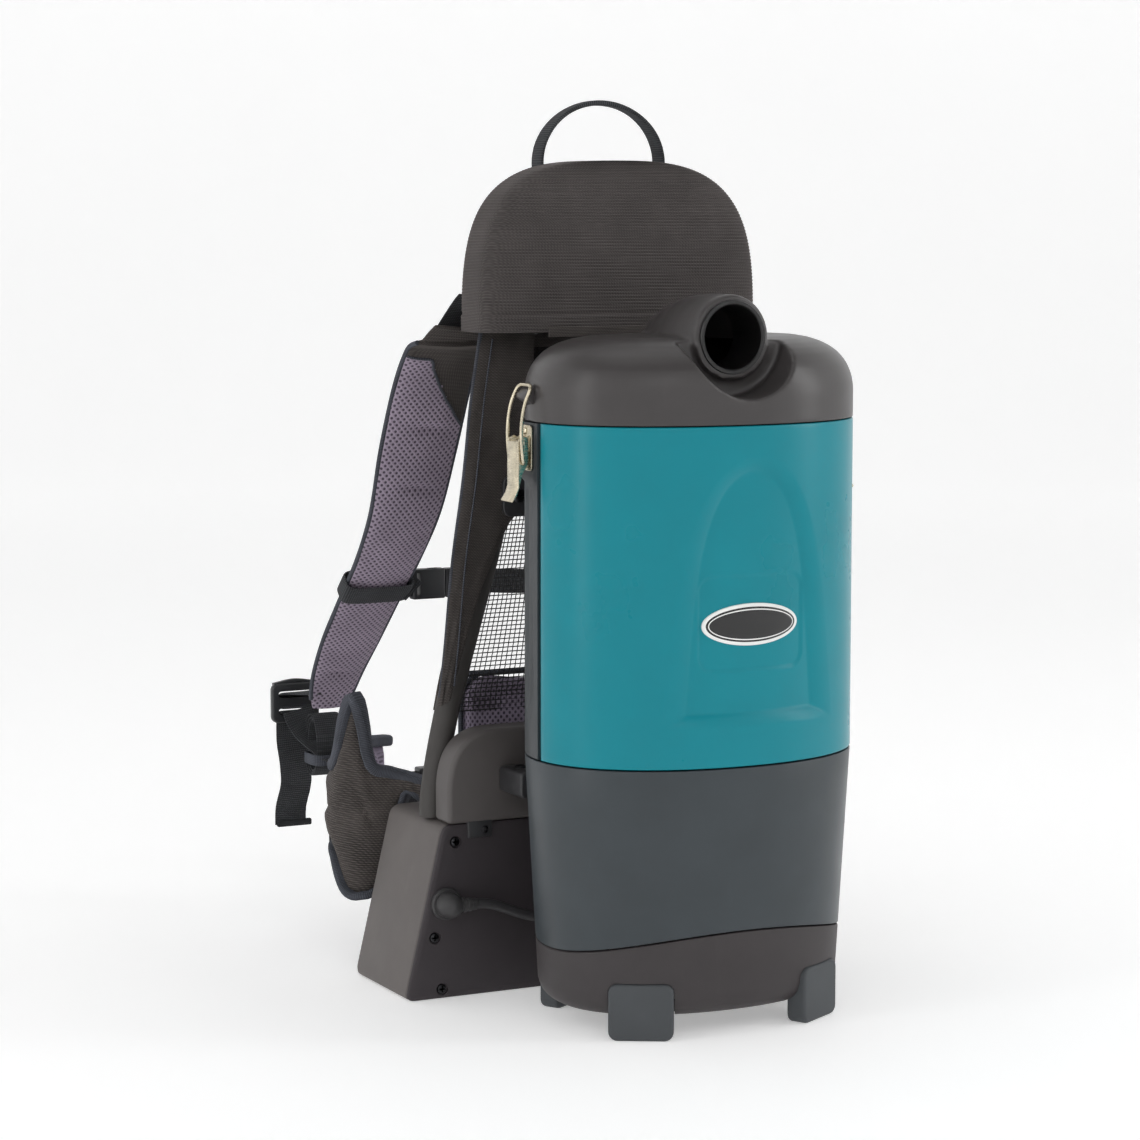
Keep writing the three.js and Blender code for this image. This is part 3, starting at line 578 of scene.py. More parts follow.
# ---------------------------------------------------------------- canister
def oval(angles, inset, z=CAN_LOW):
    """The canister's plan, `inset` inside its full size at a height."""
    taper = np.maximum(0, CAN_LOW - np.asarray(z, float)) * TAPER
    x, y = squarish(np.asarray(angles), CAN_POWER)
    return (CAN_WIDE - inset - taper) * x, (CAN_DEEP - inset - taper) * y


def arch_seam(x):
    """The height of the arched seam between the motor housing and the base."""
    return ARCH_TOP - (ARCH_RADIUS - np.sqrt(ARCH_RADIUS**2 - np.asarray(x) ** 2))


def oval_ring(z, inset, steps=176):
    """A level ring, or one that follows the arched seam `z[1]` above it when z is ('seam', lift)."""
    angles = full_turn(steps)
    if isinstance(z, tuple):
        x, y = oval(angles, inset, 60)
        for _ in range(3):
            x, y = oval(angles, inset, arch_seam(x) + z[1])
        return stacked(x, y, arch_seam(x) + z[1])
    x, y = oval(angles, inset, z)
    return stacked(x, y, z)


def relief_share(x, z):
    """0 on the relief's floor, 1 outside it, and between them on its sloped sides."""
    def within(q):
        foot, top = 211 - 9 * q, 363 + 10 * q
        t = np.clip((z - foot) / (top - foot), 0, 1)
        base, lean = 47 + 17 * q, 0.08 + 0.03 * q
        half = (base - lean * (z - foot)) * np.sqrt(np.maximum(0, 1 - t**5))
        return (z > foot) & (z < top) & (np.abs(x - RELIEF_X) < half)

    low, high = np.zeros_like(x), np.ones_like(x)
    inner, outer = within(0.0), within(1.0)
    for _ in range(12):
        middle = (low + high) / 2
        hit = within(middle)
        high, low = np.where(hit, middle, high), np.where(hit, low, middle)
    return np.where(inner, 0.0, np.where(outer, high, 1.0))


def relief_depth(x, z):
    """How far the front cover's face is sunk: the arched relief and the label panel in it."""
    floor_depth, panel_z, half_wide, half_tall, corner = 4.2, 267.5, 39.5, 30.5, 10
    share = relief_share(x, z)
    slope = 1 - share
    depth = np.where(share <= 0, floor_depth, floor_depth * (0.35 * slope + 0.65 * slope**2))
    out = np.hypot(np.maximum(np.abs(x - RELIEF_X) - half_wide + corner, 0),
                   np.maximum(np.abs(z - panel_z) - half_tall + corner, 0)) - corner
    return depth + (1 - smoothstep(out, -1.4, 0.3))


def front_cover():
    """The teal cover: an oval front with rolled edges, the arched relief and the label panel."""
    middle = np.arange(-76, 84.1, 1.0)
    edge = np.arcsin(-COVER_EDGE_Y / CAN_DEEP)
    face = 2 * math.pi - np.arccos(np.sign(middle) * (np.abs(middle) / CAN_WIDE) ** (CAN_POWER / 2))
    left = np.linspace(math.pi + edge, face[0], 36)[:-1]
    right = np.linspace(face[-1], 2 * math.pi - edge, 36)[1:]
    angles = np.concatenate([left, face, right])
    x, y = oval(angles, 0)
    y[0] = y[-1] = COVER_EDGE_Y
    tangent = unit(np.gradient(stacked(x, y), axis=0))

    def sunk(depth, z):
        return stacked(x - tangent[:, 1] * depth, y + tangent[:, 0] * depth, z)

    rolled = [(0.0, 3.0), (0.0, 0.9), (0.25, 0.28), (0.8, 0.03)]
    low, high = CAN_LOW + 0.5, CAN_HIGH - 0.5
    rows = [(low + d, sink) for d, sink in rolled]
    rows += [(z, 0.0) for z in np.arange(low + 2, high - 2, 1.25)]
    rows += [(high - d, sink) for d, sink in reversed(rolled)]
    edge_sink = np.zeros(len(x))
    for k, (_, sink) in enumerate(rolled):
        edge_sink[k] = edge_sink[-1 - k] = sink
    points = []
    for z, sink in rows:
        depth = np.maximum(edge_sink, sink)
        free = (edge_sink == 0) & (sink == 0)
        depth = depth + np.where(free, relief_depth(x, np.full_like(x, z)), 0)
        points.append(sunk(depth, z))
    columns, count = len(x), len(rows)
    faces = grid_faces(count, columns)
    last, back = (count - 1) * columns, count * columns
    deep = 3 + 6 * smoothstep(84 - np.abs(x - RELIEF_X), 0, 8)
    for z in (low + 9, high - 9):
        points.append(sunk(deep, z))
    behind = [0, back, back + columns, last]
    for c in range(1, columns - 2):
        for a, b in zip(behind, behind[1:]):
            faces.append((a + c, a + c + 1, b + c + 1, b + c))
    for end, beside in ((0, 1), (columns - 1, columns - 2)):
        edge_up = [r * columns + end for r in range(count)]
        faces.append(tuple([*edge_up, *[b + beside for b in reversed(behind)]]))
    cover = mesh_object("front_cover_moulding", np.vstack(points), faces, "teal", 60)
    add(cover, "teal", "front_cover")


def badge():
    """A blank oval nameplate with a pale rim, curved to the cover."""
    centre = (RELIEF_X - 1.0, 266.5)
    half = np.array((35.0, 13.5))
    angles = full_turn(96)

    def sheet(name, shape, sink, thick, material):
        rings = []
        for scale, lift in ((0.02, 1), (0.35, 1), (0.7, 1), (0.94, 1), (0.985, 0.8), (1.0, 0.2), (1.0, -1)):
            u = centre[0] + shape[0] * scale * np.cos(angles)
            v = centre[1] + shape[1] * scale * np.sin(angles)
            depth = sink - thick * lift
            deep = CAN_DEEP * (1 - (np.abs(u) / CAN_WIDE) ** CAN_POWER) ** (1 / CAN_POWER)
            rings.append(stacked(u, -(deep - depth), v))
        return lofted(name, rings, material)

    rim = sheet("badge_rim_part", half, 4.6, 0.7, "badge_rim")
    face = sheet("badge_face_part", half - 2.2, 4.1, 0.5, "badge")
    line = sheet("badge_line_part", half - 3.4, 3.9, 0.4, "badge_rim")
    inner = sheet("badge_inner_part", half - 4.2, 3.75, 0.4, "badge")
    add(joined("oval_badge", [rim, face, line, inner]), "badge", "badge_plate")


def rear_shell():
    """The shell: its rear half bare, its front half set back under the cover, with latch pads."""
    edge = math.asin(1.0 / CAN_DEEP)
    back = np.linspace(-edge, math.pi + edge, 120)
    front = np.linspace(math.pi + edge, 2 * math.pi - edge, 90)
    angles = np.concatenate([back, front])
    set_back = np.concatenate([np.zeros(len(back)), np.full(len(front), 9.0)])
    thin = np.concatenate([np.full(len(back), 6.0), np.full(len(front), 11.0)])
    low, high = CAN_LOW + 0.4, CAN_HIGH - 0.5
    side_x, pad_x, groove_y, groove_low, groove_high = 95, 111.8, 14, 216, 345
    outside = [(low, 1.0), (low + 0.3, 0.3), (low + 1.0, 0.0)]
    outside += [(z, 0.0) for z in np.arange(low + 3, high - 2, 2.4)]
    outside += [(high - 1.0, 0.0), (high - 0.3, 0.3), (high, 1.0)]
    rings = []
    for z, sink in outside:
        x, y = oval(angles, set_back + sink)
        pad = (1 - smoothstep(np.abs(y - LATCH_Y), 10, 12.5)) * smoothstep(z, 353, 356.5)
        wanted = np.sign(x) * np.maximum(np.abs(x), pad_x)
        x = np.where(np.abs(x) > side_x, x + (wanted - x) * pad, x)
        past = min(0, z - groove_low) + max(0, z - groove_high)
        groove = 1 - smoothstep(np.hypot(y - groove_y, past), 4.5, 7.0)
        x = np.where(np.abs(x) > side_x, x - np.sign(x) * 1.4 * groove, x)
        rings.append(stacked(x, y, z))
    for z in (high, low):
        x, y = oval(angles, thin)
        rings.append(stacked(x, y, z))
    shell = lofted("canister_rear_shell", rings, "shell_grey", ring_shape=True, smooth_angle=40)
    add(shell, "shell_grey", "canister_shell")


def lower_body():
    """The motor housing, the base cap with its vents and foot pockets, and the four feet."""
    outer = [(CAN_LOW - 0.4, 1.0), (CAN_LOW - 0.7, 0.3), (CAN_LOW - 1.4, 0), (150, 0), (120, 0), (90, 0)]
    seam = [(("seam", 1.5), 0), (("seam", 0.75), 0.25), (("seam", 0.45), 0.9), (("seam", 0.4), 3)]
    rings = [oval_ring(z, inset) for z, inset in [*outer, *seam, (100, 3), (CAN_LOW - 0.4, 3)]]
    housing = lofted("motor_housing_moulding", rings, "housing_grey", ring_shape=True)
    add(housing, "housing_grey", "motor_housing")

    seam = [(("seam", -0.45), 3), (("seam", -0.45), 1.1), (("seam", -0.8), 0.35), (("seam", -1.6), 0)]
    low = [(28, 0), (24.5, 0.9), (21, 2.2), (18.6, 4), (16.5, 6.4), (14.8, 9.4), (14.2, 12), (14, 15)]
    inner = [(17.5, 15), (22, 6.0), (28, 3)]
    rings = [oval_ring(z, inset) for z, inset in [*seam, *low]]
    floor = [oval_ring(14, inset, 176) for inset in (30, 50, 66)]
    roof = [oval_ring(17.5, inset, 176) for inset in (66, 50, 30)]
    rings += floor + roof + [oval_ring(z, inset) for z, inset in inner]
    base = lofted("base_cap_moulding", rings, "base_grey", ring_shape=True)
    plate = lofted("base_floor", [oval_ring(14, 64), oval_ring(17.5, 64)], "base_grey")
    base = combined(base, [plate], "UNION")
    slots = [slab("slot", rounded_outline(x - 2, x + 2, -30, 30, 1.9, 4), 5, 25, "z", "base_grey", 0)
             for x in (-36, -24, -12, 0, 12, 24, 36)]
    feet = [(sx, sy, f"foot_{along}_{across}") for across, sx in SIDES
            for along, sy in (("front", -1), ("rear", 1))]
    pockets = [foot_shape(sx, sy, 0.35, 10, "base_grey", 0) for sx, sy, _ in feet]
    base = combined(base, slots + pockets, smooth_angle=35)
    add(base, "base_grey", "base_cap")
    for sx, sy, name in feet:
        foot = foot_shape(sx, sy, 0, 0, "foot_rubber", 2.2)
        add(foot, "foot_rubber", name)
        foot.name = f"{name}_block"


def foot_shape(sx, sy, grow, inward, material, bevel):
    """A foot block, or the room it takes in the base, turned to face outwards."""
    half = 21 + grow
    outline = rounded_outline(-half, half, -grow, 37 + grow, 6 + grow)
    foot = slab("foot", outline, -7 - grow - inward, 7 + grow, "y", material, bevel, 4)
    turn, foot_x, foot_y = math.radians(29.4), 0.0633, 0.0539
    angle = -sx * turn if sy > 0 else math.pi + sx * turn
    c, s = math.cos(angle), math.sin(angle)
    for v in foot.data.vertices:
        x, y = v.co.x, v.co.y + MIDDLE / 1000
        v.co.x, v.co.y = x * c - y * s + sx * foot_x, x * s + y * c + sy * foot_y - MIDDLE / 1000
    return foot


# ---------------------------------------------------------------- lid and hose port
def bar_y(name, y0, y1, radius):
    """A round bar along the hose port's axis, to cut or keep with."""
    return disc_stack(name, [(radius, y0), (radius, y1)], (0, 0, PORT_Z), (0, 1, 0), "lid_grey", 72)


def lid_solid(shrink=0.0):
    """The crown and hump, or the hollow inside them."""
    crown = [(392 if not shrink else 380, 0), (412, 0), (418, 0.7), (423, 2.2), (428, 4.4), (432, 7.2),
             (436, 11), (439.5, 16), (442.4, 22), (444.6, 29), (446.2, 38), (447, 52), (447.3, 66)]
    rings = [oval_ring(z - (shrink if z > 400 else 0), inset + shrink, 120) for z, inset in crown]
    body = lofted("crown", rings, "lid_grey")
    hump = [(-55, 25.6, 447), (-53.6, 26.8, 447), (-52, 27, 447), (-38, 27, 447), (-24, 27, 446.6),
            (-8, 26.8, 445.4), (8, 25.8, 442.6), (22, 24, 438.6), (36, 21, 433.6), (50, 15.5, 427.6),
            (56, 11, 424)]
    rings, angles = [], full_turn(72)
    for y, radius, z in hump:
        radius -= shrink
        rings.append(stacked(radius * np.cos(angles), y + shrink * (y < 0), z + radius * np.sin(angles)))
    return combined(body, [lofted("hump", rings, "lid_grey")], "UNION")


def lid():
    """The lid: blended crown, hump and niche, then cut sharp at its seam, mouth and bore."""
    niche = combined(bar_y("niche", -112, -50, 38), [bar_y("keep", -56, -45, 27)])
    body = combined(lid_solid(), [niche])
    remesh = body.modifiers.new("remesh", "REMESH")
    remesh.mode, remesh.voxel_size = "VOXEL", 0.0013
    soft = body.modifiers.new("soft", "SMOOTH")
    soft.factor, soft.iterations = 0.5, 9
    applied(body)
    below = slab("below", [(-130, -100), (130, -100), (130, 100), (-130, 100)], 380, 393.4, "z",
                 "lid_grey", 0)
    collar_room = bar_y("collar_room", -75, -12, 22.3)
    behind_niche = bar_y("behind_niche", -115, -46, 41.2)
    body = combined(body, [below, collar_room, combined(lid_solid(3.2), [behind_niche])], smooth_angle=40)
    keepers = []
    for _, s in SIDES:
        outline = [(s * 108, 402.2), (s * 116.5, 408), (s * 116.5, 410.5), (s * 108, 419)]
        keepers.append(slab("keeper", outline, LATCH_Y - 7, LATCH_Y + 7, "y", "lid_grey", 0.9))
    add(joined("lid_moulding", [body, *keepers]), "lid_grey", "lid", body="lid")

    wall = [(22.0, -20), (22.0, -54.4), (23.5, -54.6), (23.5, -56.4), (23.1, -57.0), (21.2, -57.0),
            (20.5, -56.3), (20.5, -20)]
    collar = turned("hose_port_tube", wall, (0, 0, PORT_Z), (0, 1, 0), "port_black", 96, 30)
    add(collar, "port_black", "hose_port_collar", body="lid")


# ---------------------------------------------------------------- latches
def latch(side, s):
    """An over-centre toggle: riveted bracket, folded lever with a lifting tab, and a wire bail."""
    bracket, lever, bail = [f"latch_{part}_{side}" for part in ("bracket", "lever", "bail")]

    def sheet_across(outline, dy, half, bevel):
        """Folded steel seen from the side, `half` to each side of dy from the latch's middle."""
        outline = [(s * x, z) for x, z in outline]
        return slab("sheet", outline, LATCH_Y + dy - half, LATCH_Y + dy + half, "y", "latch_steel", bevel, 2)

    plate = slab("plate", rounded_outline(LATCH_Y - 8.5, LATCH_Y + 8.5, 362, 391, 2.5), s * 112.3,
                 s * 113.5, "x", "latch_steel", 0.3, 2)
    ear = [(113, 374), (117.2, 375.6), (120.4, 378), (121, 380.2), (120.3, 381.7), (118.5, 382.5),
           (117.3, 382.5), (116.6, 382.9), (113, 385)]
    parts = [plate, *[sheet_across(ear, dy, 0.6, 0.25) for dy in (-5.8, 5.8)]]
    rivet = [(2.4, 0), (2.4, 0.5), (1.9, 1.1), (1.0, 1.4)]
    for z in (367, 387.2):
        parts.append(disc_stack("rivet", rivet, (s * 113.4, LATCH_Y, z), (s, 0, 0), "latch_steel", 24))
    add(joined(f"{bracket}_steel", parts), "latch_steel", bracket)

    strip = [(121.4, 381), (122.4, 380.8), (122.5, 352.4), (124, 348), (127.2, 343.2), (126.3, 342.2),
             (123, 346.6), (121.3, 351.6)]
    cheek = [(115.2, 383), (118, 384.3), (121.6, 382.8), (122.2, 381), (122.2, 353), (121, 353.5),
             (119.3, 360), (115.8, 365.8), (115.0, 368)]
    parts = [sheet_across(strip, 0, 8, 0.35), *[sheet_across(cheek, dy, 0.55, 0.25) for dy in (-7.45, 7.45)]]
    pin = [(0.8, -8.9), (1.7, -8.5), (1.7, 8.5), (0.8, 8.9)]
    parts.append(disc_stack("pin", pin, (s * 118.5, LATCH_Y, 380), (0, 1, 0), "latch_steel", 20))
    add(joined(f"{lever}_steel", parts), "latch_steel", lever, body=lever)

    leg = [(119, 7.3, 367), (119.1, 9.4, 367.3), (119.9, 10, 370), (121, 10, 382), (120.6, 10, 394),
           (118.4, 10, 405), (114.8, 9.6, 413.4), (113.4, 7.2, 416), (113.1, 3, 416.4)]
    loop = leg + [(x, -dy, z) for x, dy, z in reversed(leg)]
    wire = rod(f"{bail}_wire", [(s * x, LATCH_Y + dy, z) for x, dy, z in loop], 1.2, "latch_steel", 150, 12)
    add(wire, "latch_steel", bail, body=bail)


# ---------------------------------------------------------------- battery box
def box_half(z):
    """Half the battery box's width at a height."""
    return BOX_LOW - BOX_SLOPE * z


def box_outline(inset):
    """The box's front outline: a trapezium with round corners."""
    corner, steps = 7.0, 7
    low, high = inset, BOX_TOP - inset
    corners = [(box_half(low) - inset, low), (box_half(high) - inset, high)]
    corners += [(-x, z) for x, z in reversed(corners)]
    points = []
    for k, (x, z) in enumerate(corners):
        before, after = np.array(corners[k - 1]), np.array(corners[(k + 1) % 4])
        here = np.array((x, z))
        start = here + (before - here) / np.linalg.norm(before - here) * corner
        end = here + (after - here) / np.linalg.norm(after - here) * corner
        for t in np.linspace(0, 1, steps):
            points.append(tuple((1 - t) ** 2 * start + 2 * t * (1 - t) * here + t * t * end))
    return points


def screw(name, centre, axis, radius=3.4):
    """A cross-head screw: domed head with a recessed cross."""
    profile = [(radius, -1.5), (radius, 0.2), (radius * 0.86, 1.0), (radius * 0.5, 1.5), (0.3, 1.6)]
    head = disc_stack(name, profile, centre, axis, "screw_steel", 28)
    if abs(axis[1]) > 0.5:
        y = centre[1] + axis[1] * 1.2
        spans = ((radius * 0.62, 0.55), (0.55, radius * 0.62))
        x, z = centre[0], centre[2]
        arms = [box_of("arm", (x - u, y - 1.1, z - v), (x + u, y + 1.1, z + v), "screw_steel", 0)
                for u, v in spans]
        head = combined(head, arms, smooth_angle=35)
    return head


def box_rings(steps):
    """The box's outline at each (y, inset)."""
    return [[(x, y, z) for x, z in box_outline(inset)] for y, inset in steps]


def battery_box():
    """The battery box: hollow tray, front cover with its screws, top clips, socket cap."""
    split = BOX_FRONT + 4
    outside = [(split + 0.5, 1.3), (split + 0.5, 0.6), (split + 1.1, 0.1), (split + 2, 0), (BOX_BACK - 6, 0),
               (BOX_BACK - 3, 0.9), (BOX_BACK - 0.9, 3), (BOX_BACK, 6)]
    inside = [(BOX_BACK, 40), (BOX_BACK - 3, 40), (BOX_BACK - 3, 8), (BOX_BACK - 6, 3), (split + 0.5, 3)]
    tray = lofted("tray", box_rings(outside + inside), "box_side", ring_shape=True)
    back = slab("back_plate", box_outline(38), BOX_BACK - 3, BOX_BACK, "y", "box_side", 0)
    tray = combined(tray, [back], "UNION")
    slope = math.atan(BOX_SLOPE)
    socket_y, socket_z = CHARGE_SOCKET
    socket_at = (box_half(socket_z), socket_y, socket_z)
    out_axis = (math.cos(slope), 0, math.sin(slope))
    hole = disc_stack("hole", [(8.2, -9), (8.2, 9)], socket_at, out_axis, "box_side", 40)
    window = slab("window", [(118.2, 58.2), (137.8, 58.2), (137.8, 85.8), (118.2, 85.8)], 130, 160, "x",
                  "box_side", 0)
    tray = combined(tray, [hole, window], smooth_angle=35)
    add(tray, "box_side", "battery_tray")
    tray.name = "battery_tray_moulding"

    front = [(split - 0.1, 0.6), (split - 0.7, 0.1), (BOX_FRONT + 2.4, 0), (BOX_FRONT + 0.9, 0.6),
             (BOX_FRONT + 0.2, 2.0), (BOX_FRONT, 3.6), (BOX_FRONT, 14)]
    cover = lofted("battery_cover_moulding", box_rings(front), "box_front")
    places = [(-box_half(103) + 12, 106), (-box_half(40) + 11.5, 42), (-box_half(9) + 24, 6.5)]
    places += [(-x, z) for x, z in places]
    recess = [disc_stack("recess", [(4.3, -2), (4.3, 1.4)], (x, BOX_FRONT, z), (0, 1, 0), "box_front", 28)
              for x, z in places]
    cover = combined(cover, recess, smooth_angle=35)
    add(cover, "box_front", "battery_cover")
    heads = [screw("screw", (x, BOX_FRONT + 1.5, z), (0, -1, 0), 3.5) for x, z in places]
    add(joined("cover_screws", heads), "bracket_black")

    clips = []
    for _, s in SIDES:
        x = s * (box_half(BOX_TOP) - 26)
        clips.append(box_of("clip", (x - 9, BOX_FRONT - 1.6, 108), (x + 9, BOX_FRONT + 9, BOX_TOP + 1.8),
                            "bracket_black", 0.9))
        clips.append(screw("clip_screw", (x - 3.5 * s, BOX_FRONT - 1.2, 113), (0, -1, 0), 2.8))
    add(joined("box_top_clips", clips), "bracket_black")

    disc = [(11, 3.4), (11, 4.5), (10.4, 5.1), (8.4, 5.1), (7.6, 4.8), (0.4, 4.8)]
    cap = disc_stack("charge_cap_disc", disc, socket_at, out_axis, "cap_rubber", 48)
    tab = box_of("tab", (box_half(83) + 4.2, socket_y - 4, 80), (box_half(83) + 6.6, socket_y + 4, 87.5),
                 "cap_rubber", 0.7)
    add(joined("charge_cap_moulding", [cap, tab]), "cap_rubber", "charge_socket_cap", body="charge_cap")


# ---------------------------------------------------------------- lead
LEAD_ROUTE = [
    (-111.7, 90, 65), (-107, 90, 64.7), (-102, 90.1, 63.8), (-97, 90.2, 62.3), (-92, 90.3, 60.4),
    (-87, 90.2, 58.4), (-82, 90, 56.4), (-76, 89.5, 54.2), (-70, 88.8, 52.7), (-64, 88.2, 52.1),
    (-58.3, 88, 52),
]


def lead():
    """The short lead from the battery box to the motor, between its two moulded boots."""
    points = smooth_path(LEAD_ROUTE, 60)
    curve = bpy.data.curves.new("battery_lead_flex", "CURVE")
    curve.dimensions, curve.bevel_depth, curve.bevel_resolution = "3D", 0.0035, 5
    spline = curve.splines.new("POLY")
    spline.points.add(len(points) - 1)
    for target, point in zip(spline.points, metres(points)):
        target.co = (*point, 1)
    flex = linked("battery_lead_flex", curve)
    flex.data.materials.append(LOOKS["lead"])
    add(flex, "lead", "battery_lead")

    def boot(name, node, parts):
        """A moulded boot of turned parts, each with its start and direction."""
        turns = [disc_stack("turn", profile, start, axis, "gland", steps)
                 for profile, start, axis, steps in parts]
        return add(joined(name, turns), "gland", node)

    flange = [(11, 0.2), (11, 2.4), (10.2, 3.3), (8.4, 3.5)]
    dome = [(8.8, 0), (8.8, 5), (8.3, 8), (7.1, 10.8), (5.2, 13), (2.8, 14.3), (0.5, 14.8)]
    neck = [(5.4, 0), (5.2, 3), (4.6, 6), (4.6, 6.9), (5.2, 7.2), (5.0, 9.6), (4.4, 9.9), (4.4, 10.8),
            (4.8, 11.1), (4.6, 13.6), (4.1, 13.9), (4.1, 17.4), (3.75, 18)]
    near = boot("box_lead_boot", "battery_gland", [
        (flange, (-130, 99.9, 65), (0, -1, 0), 48), (dome, (-130, 97.5, 65), (0, -1, 0), 48),
        (neck, (-130, 90, 65), (1, 0, 0), 40)])
    root = [(8.2, 0), (8.2, 22), (7.6, 26), (6.0, 29), (3.4, 30.6), (0.6, 31)]
    arm = [(5.8, 0), (5.6, 5), (5.2, 8), (5.2, 12.4), (4.6, 13.4), (3.75, 14.2)]
    far = boot("canister_lead_boot", "canister_gland", [
        (root, (-44, 60, 52), (0, 1, 0), 40), (arm, (-44, 88, 52), (-1, 0, 0), 40)])


# ---------------------------------------------------------------- tube frame
TUBE_HALF = [(126.5, 119.5), (126.3, 130), (122, 158), (113, 198), (101.5, 238), (91.5, 272), (82, 305),
             (73, 345), (67, 385), (63.4, 420), (63, 434), (63, 444.4)]
BOW_HALF = [(63, 445), (63, 462), (62.6, 482), (57, 506), (40, 525), (18, 531)]
SLEEVE_OUT = [(96, 445.4), (103, 400), (109, 347), (117, 293), (123, 233), (127.5, 196)]
SLEEVE_IN = [(55, 445.4), (57, 413), (65, 335), (77, 312), (98, 266), (118.5, 200)]


def tube_frame():
    """The bent tubes, the top bow, the lumbar mount and the canister's brackets."""
    for side, s in SIDES:
        route = [(s * x, TUBE_Y, z) for x, z in TUBE_HALF]
        tube = rod(f"frame_tube_{side}_rod", route, TUBE_RADIUS, "frame_black", 60, 32)
        add(tube, "frame_black", f"frame_tube_{side}")
    half = [(-x, TUBE_Y, z) for x, z in BOW_HALF]
    arch = [*half, (0, TUBE_Y, 532), *[(-x, y, z) for x, y, z in reversed(half)]]
    bow = rod("frame_top_bow_rod", arch, TUBE_RADIUS, "frame_black", 90, 32)
    add(bow, "frame_black", "frame_top_bow")

    points = [(-128.8, 118.5), (128.8, 118.5), (128.8, 142)]
    bend = [((1 - t) ** 2 * 128.8 + 2 * t * (1 - t) * 127 + t * t * 92,
             (1 - t) ** 2 * 142 + 2 * t * (1 - t) * 181 + t * t * 181) for t in np.linspace(0, 1, 16)[1:]]
    points += bend + [(-x, z) for x, z in reversed(bend)] + [(-128.8, 142)]
    body = slab("lumbar_mount_moulding", points, 97.2, 120.8, "y", "mount_plastic", 3.4, 5)
    ribs = [slab("rib", rounded_outline(x - 9, x + 9, 128, 166, 4), 80, 99.4, "y", "mount_plastic", 0)
            for x in (-46, -15.5, 15.5, 46)]
    body = combined(body, ribs, smooth_angle=40)
    add(body, "mount_plastic", "lumbar_mount")

    for side, s in SIDES:
        low, high = node_mm(f"lower_bracket_{side}")
        outline = rounded_outline(low[0], high[0], 139, 156, 3)
        peg = slab("peg", outline, low[1] + 7, 96.7, "y", "bracket_black", 1.4)
        knob = screw("peg_screw", (s * 81, 85, 156.2), (0, 0, 1), 4.5)
        add(joined(f"lower_bracket_{side}_peg", [peg, knob]), "bracket_black",
            f"lower_bracket_{side}")
    bar = slab("bar", rounded_outline(-82, 82, 322, 350, 6), 109, 112.5, "y", "bracket_black", 0.8)
    tongue = slab("tongue", rounded_outline(-30, 30, 326, 346, 4), 83, 110, "y", "bracket_black", 1.2)
    bolts = [screw("bolt", (x, 108.6, 336), (0, -1, 0), 5) for x in (-70, -44, 44, 70)]
    add(joined("upper_bracket_steel", [bar, tongue, *bolts]), "bracket_black", "upper_bracket")


# ---------------------------------------------------------------- hood, handle and sleeves
def hood():
    """The ribbed fabric hood: rounded box section, horizontal ribs, folded hem, slight creases."""
    turn = np.linspace(0, 1, 150)
    theta = (math.pi / 2) * turn**0.9
    half = HOOD_WIDE * np.cos(theta) ** (2 / 3.2)
    height = HOOD_LOW + HOOD_TALL * np.sin(theta) ** (2 / 3.2)
    gone = lengths_along(stacked(half, height, 0.0))
    wanted = np.linspace(0, gone[-1] - 0.4, 400)
    half, height = np.interp(wanted, gone, half), np.interp(wanted, gone, height)
    angles = full_turn(120)
    across, deep = squarish(angles, 6.0)

    def ring(w, z, shrink, rib):
        top = np.clip((z - 500) / 60, 0, 1)
        depth = 27.4 - 9 * top**2.4
        x, y = (w - shrink) * across, HOOD_Y + (depth - shrink) * deep
        belly = 1.2 * math.sin((z - 446) / 114 * math.pi) * (1 - (x / HOOD_WIDE) ** 2)
        crease = (0.8 * np.sin(x / 17 + z / 26) * np.sin(z / 31 + 1.3)
                  + 1.1 * np.exp(-((x + 62 - (z - 446) * 0.25) / 9) ** 2) * np.sin((z - 446) / 22)
                  - 0.9 * np.exp(-((x - 50 + (z - 470) * 0.4) / 8) ** 2) * np.sin((z - 440) / 34))
        y = y + np.sign(y - HOOD_Y) * (belly + crease * 0.8 + rib - 1.6)
        x = x + np.sign(x) * rib * 0.6
        return stacked(x, y, z)

    pitch = 2.3
    rings = [ring(103, 449, 3.0, 0), ring(103.2, 446.5, 2.6, 0), ring(103.8, 446.0, 1.2, 0)]
    for k, (w, z) in enumerate(zip(half, height)):
        rib = 0.22 * math.cos(2 * math.pi * wanted[k] / pitch)
        hem = -0.8 * math.exp(-((wanted[k] - 11.5) / 0.9) ** 2) + (0.5 if wanted[k] < 11 else 0)
        rings.append(ring(w, z, 0, rib + hem))
    outer = lofted("hood_fabric_cover", rings, "hood_fabric", ends="last", smooth_angle=60)
    lining = [ring(w - 5, z, 2.5, 0) for w, z in ((101, 449), (103, 470), (100, 510), (84, 540), (60, 551))]
    inner = lofted("lining", lining, "sleeve_fabric", ends="last")
    add(joined("hood_fabric_cover", [outer, inner]), "hood_fabric", "hood_cover")
    tape = []
    for y, x0, x1 in ((84.6, -60, 40), (143.4, -70, 70)):
        line = [(x0, y, 446.5), ((x0 + x1) / 2, y, 446), (x1, y, 446.5)]
        tape.append(webbing("tape", line, 7, (0, 0, 1), 1.6, "sleeve_fabric"))
    add(joined("hood_edge_tape", tape), "sleeve_fabric")


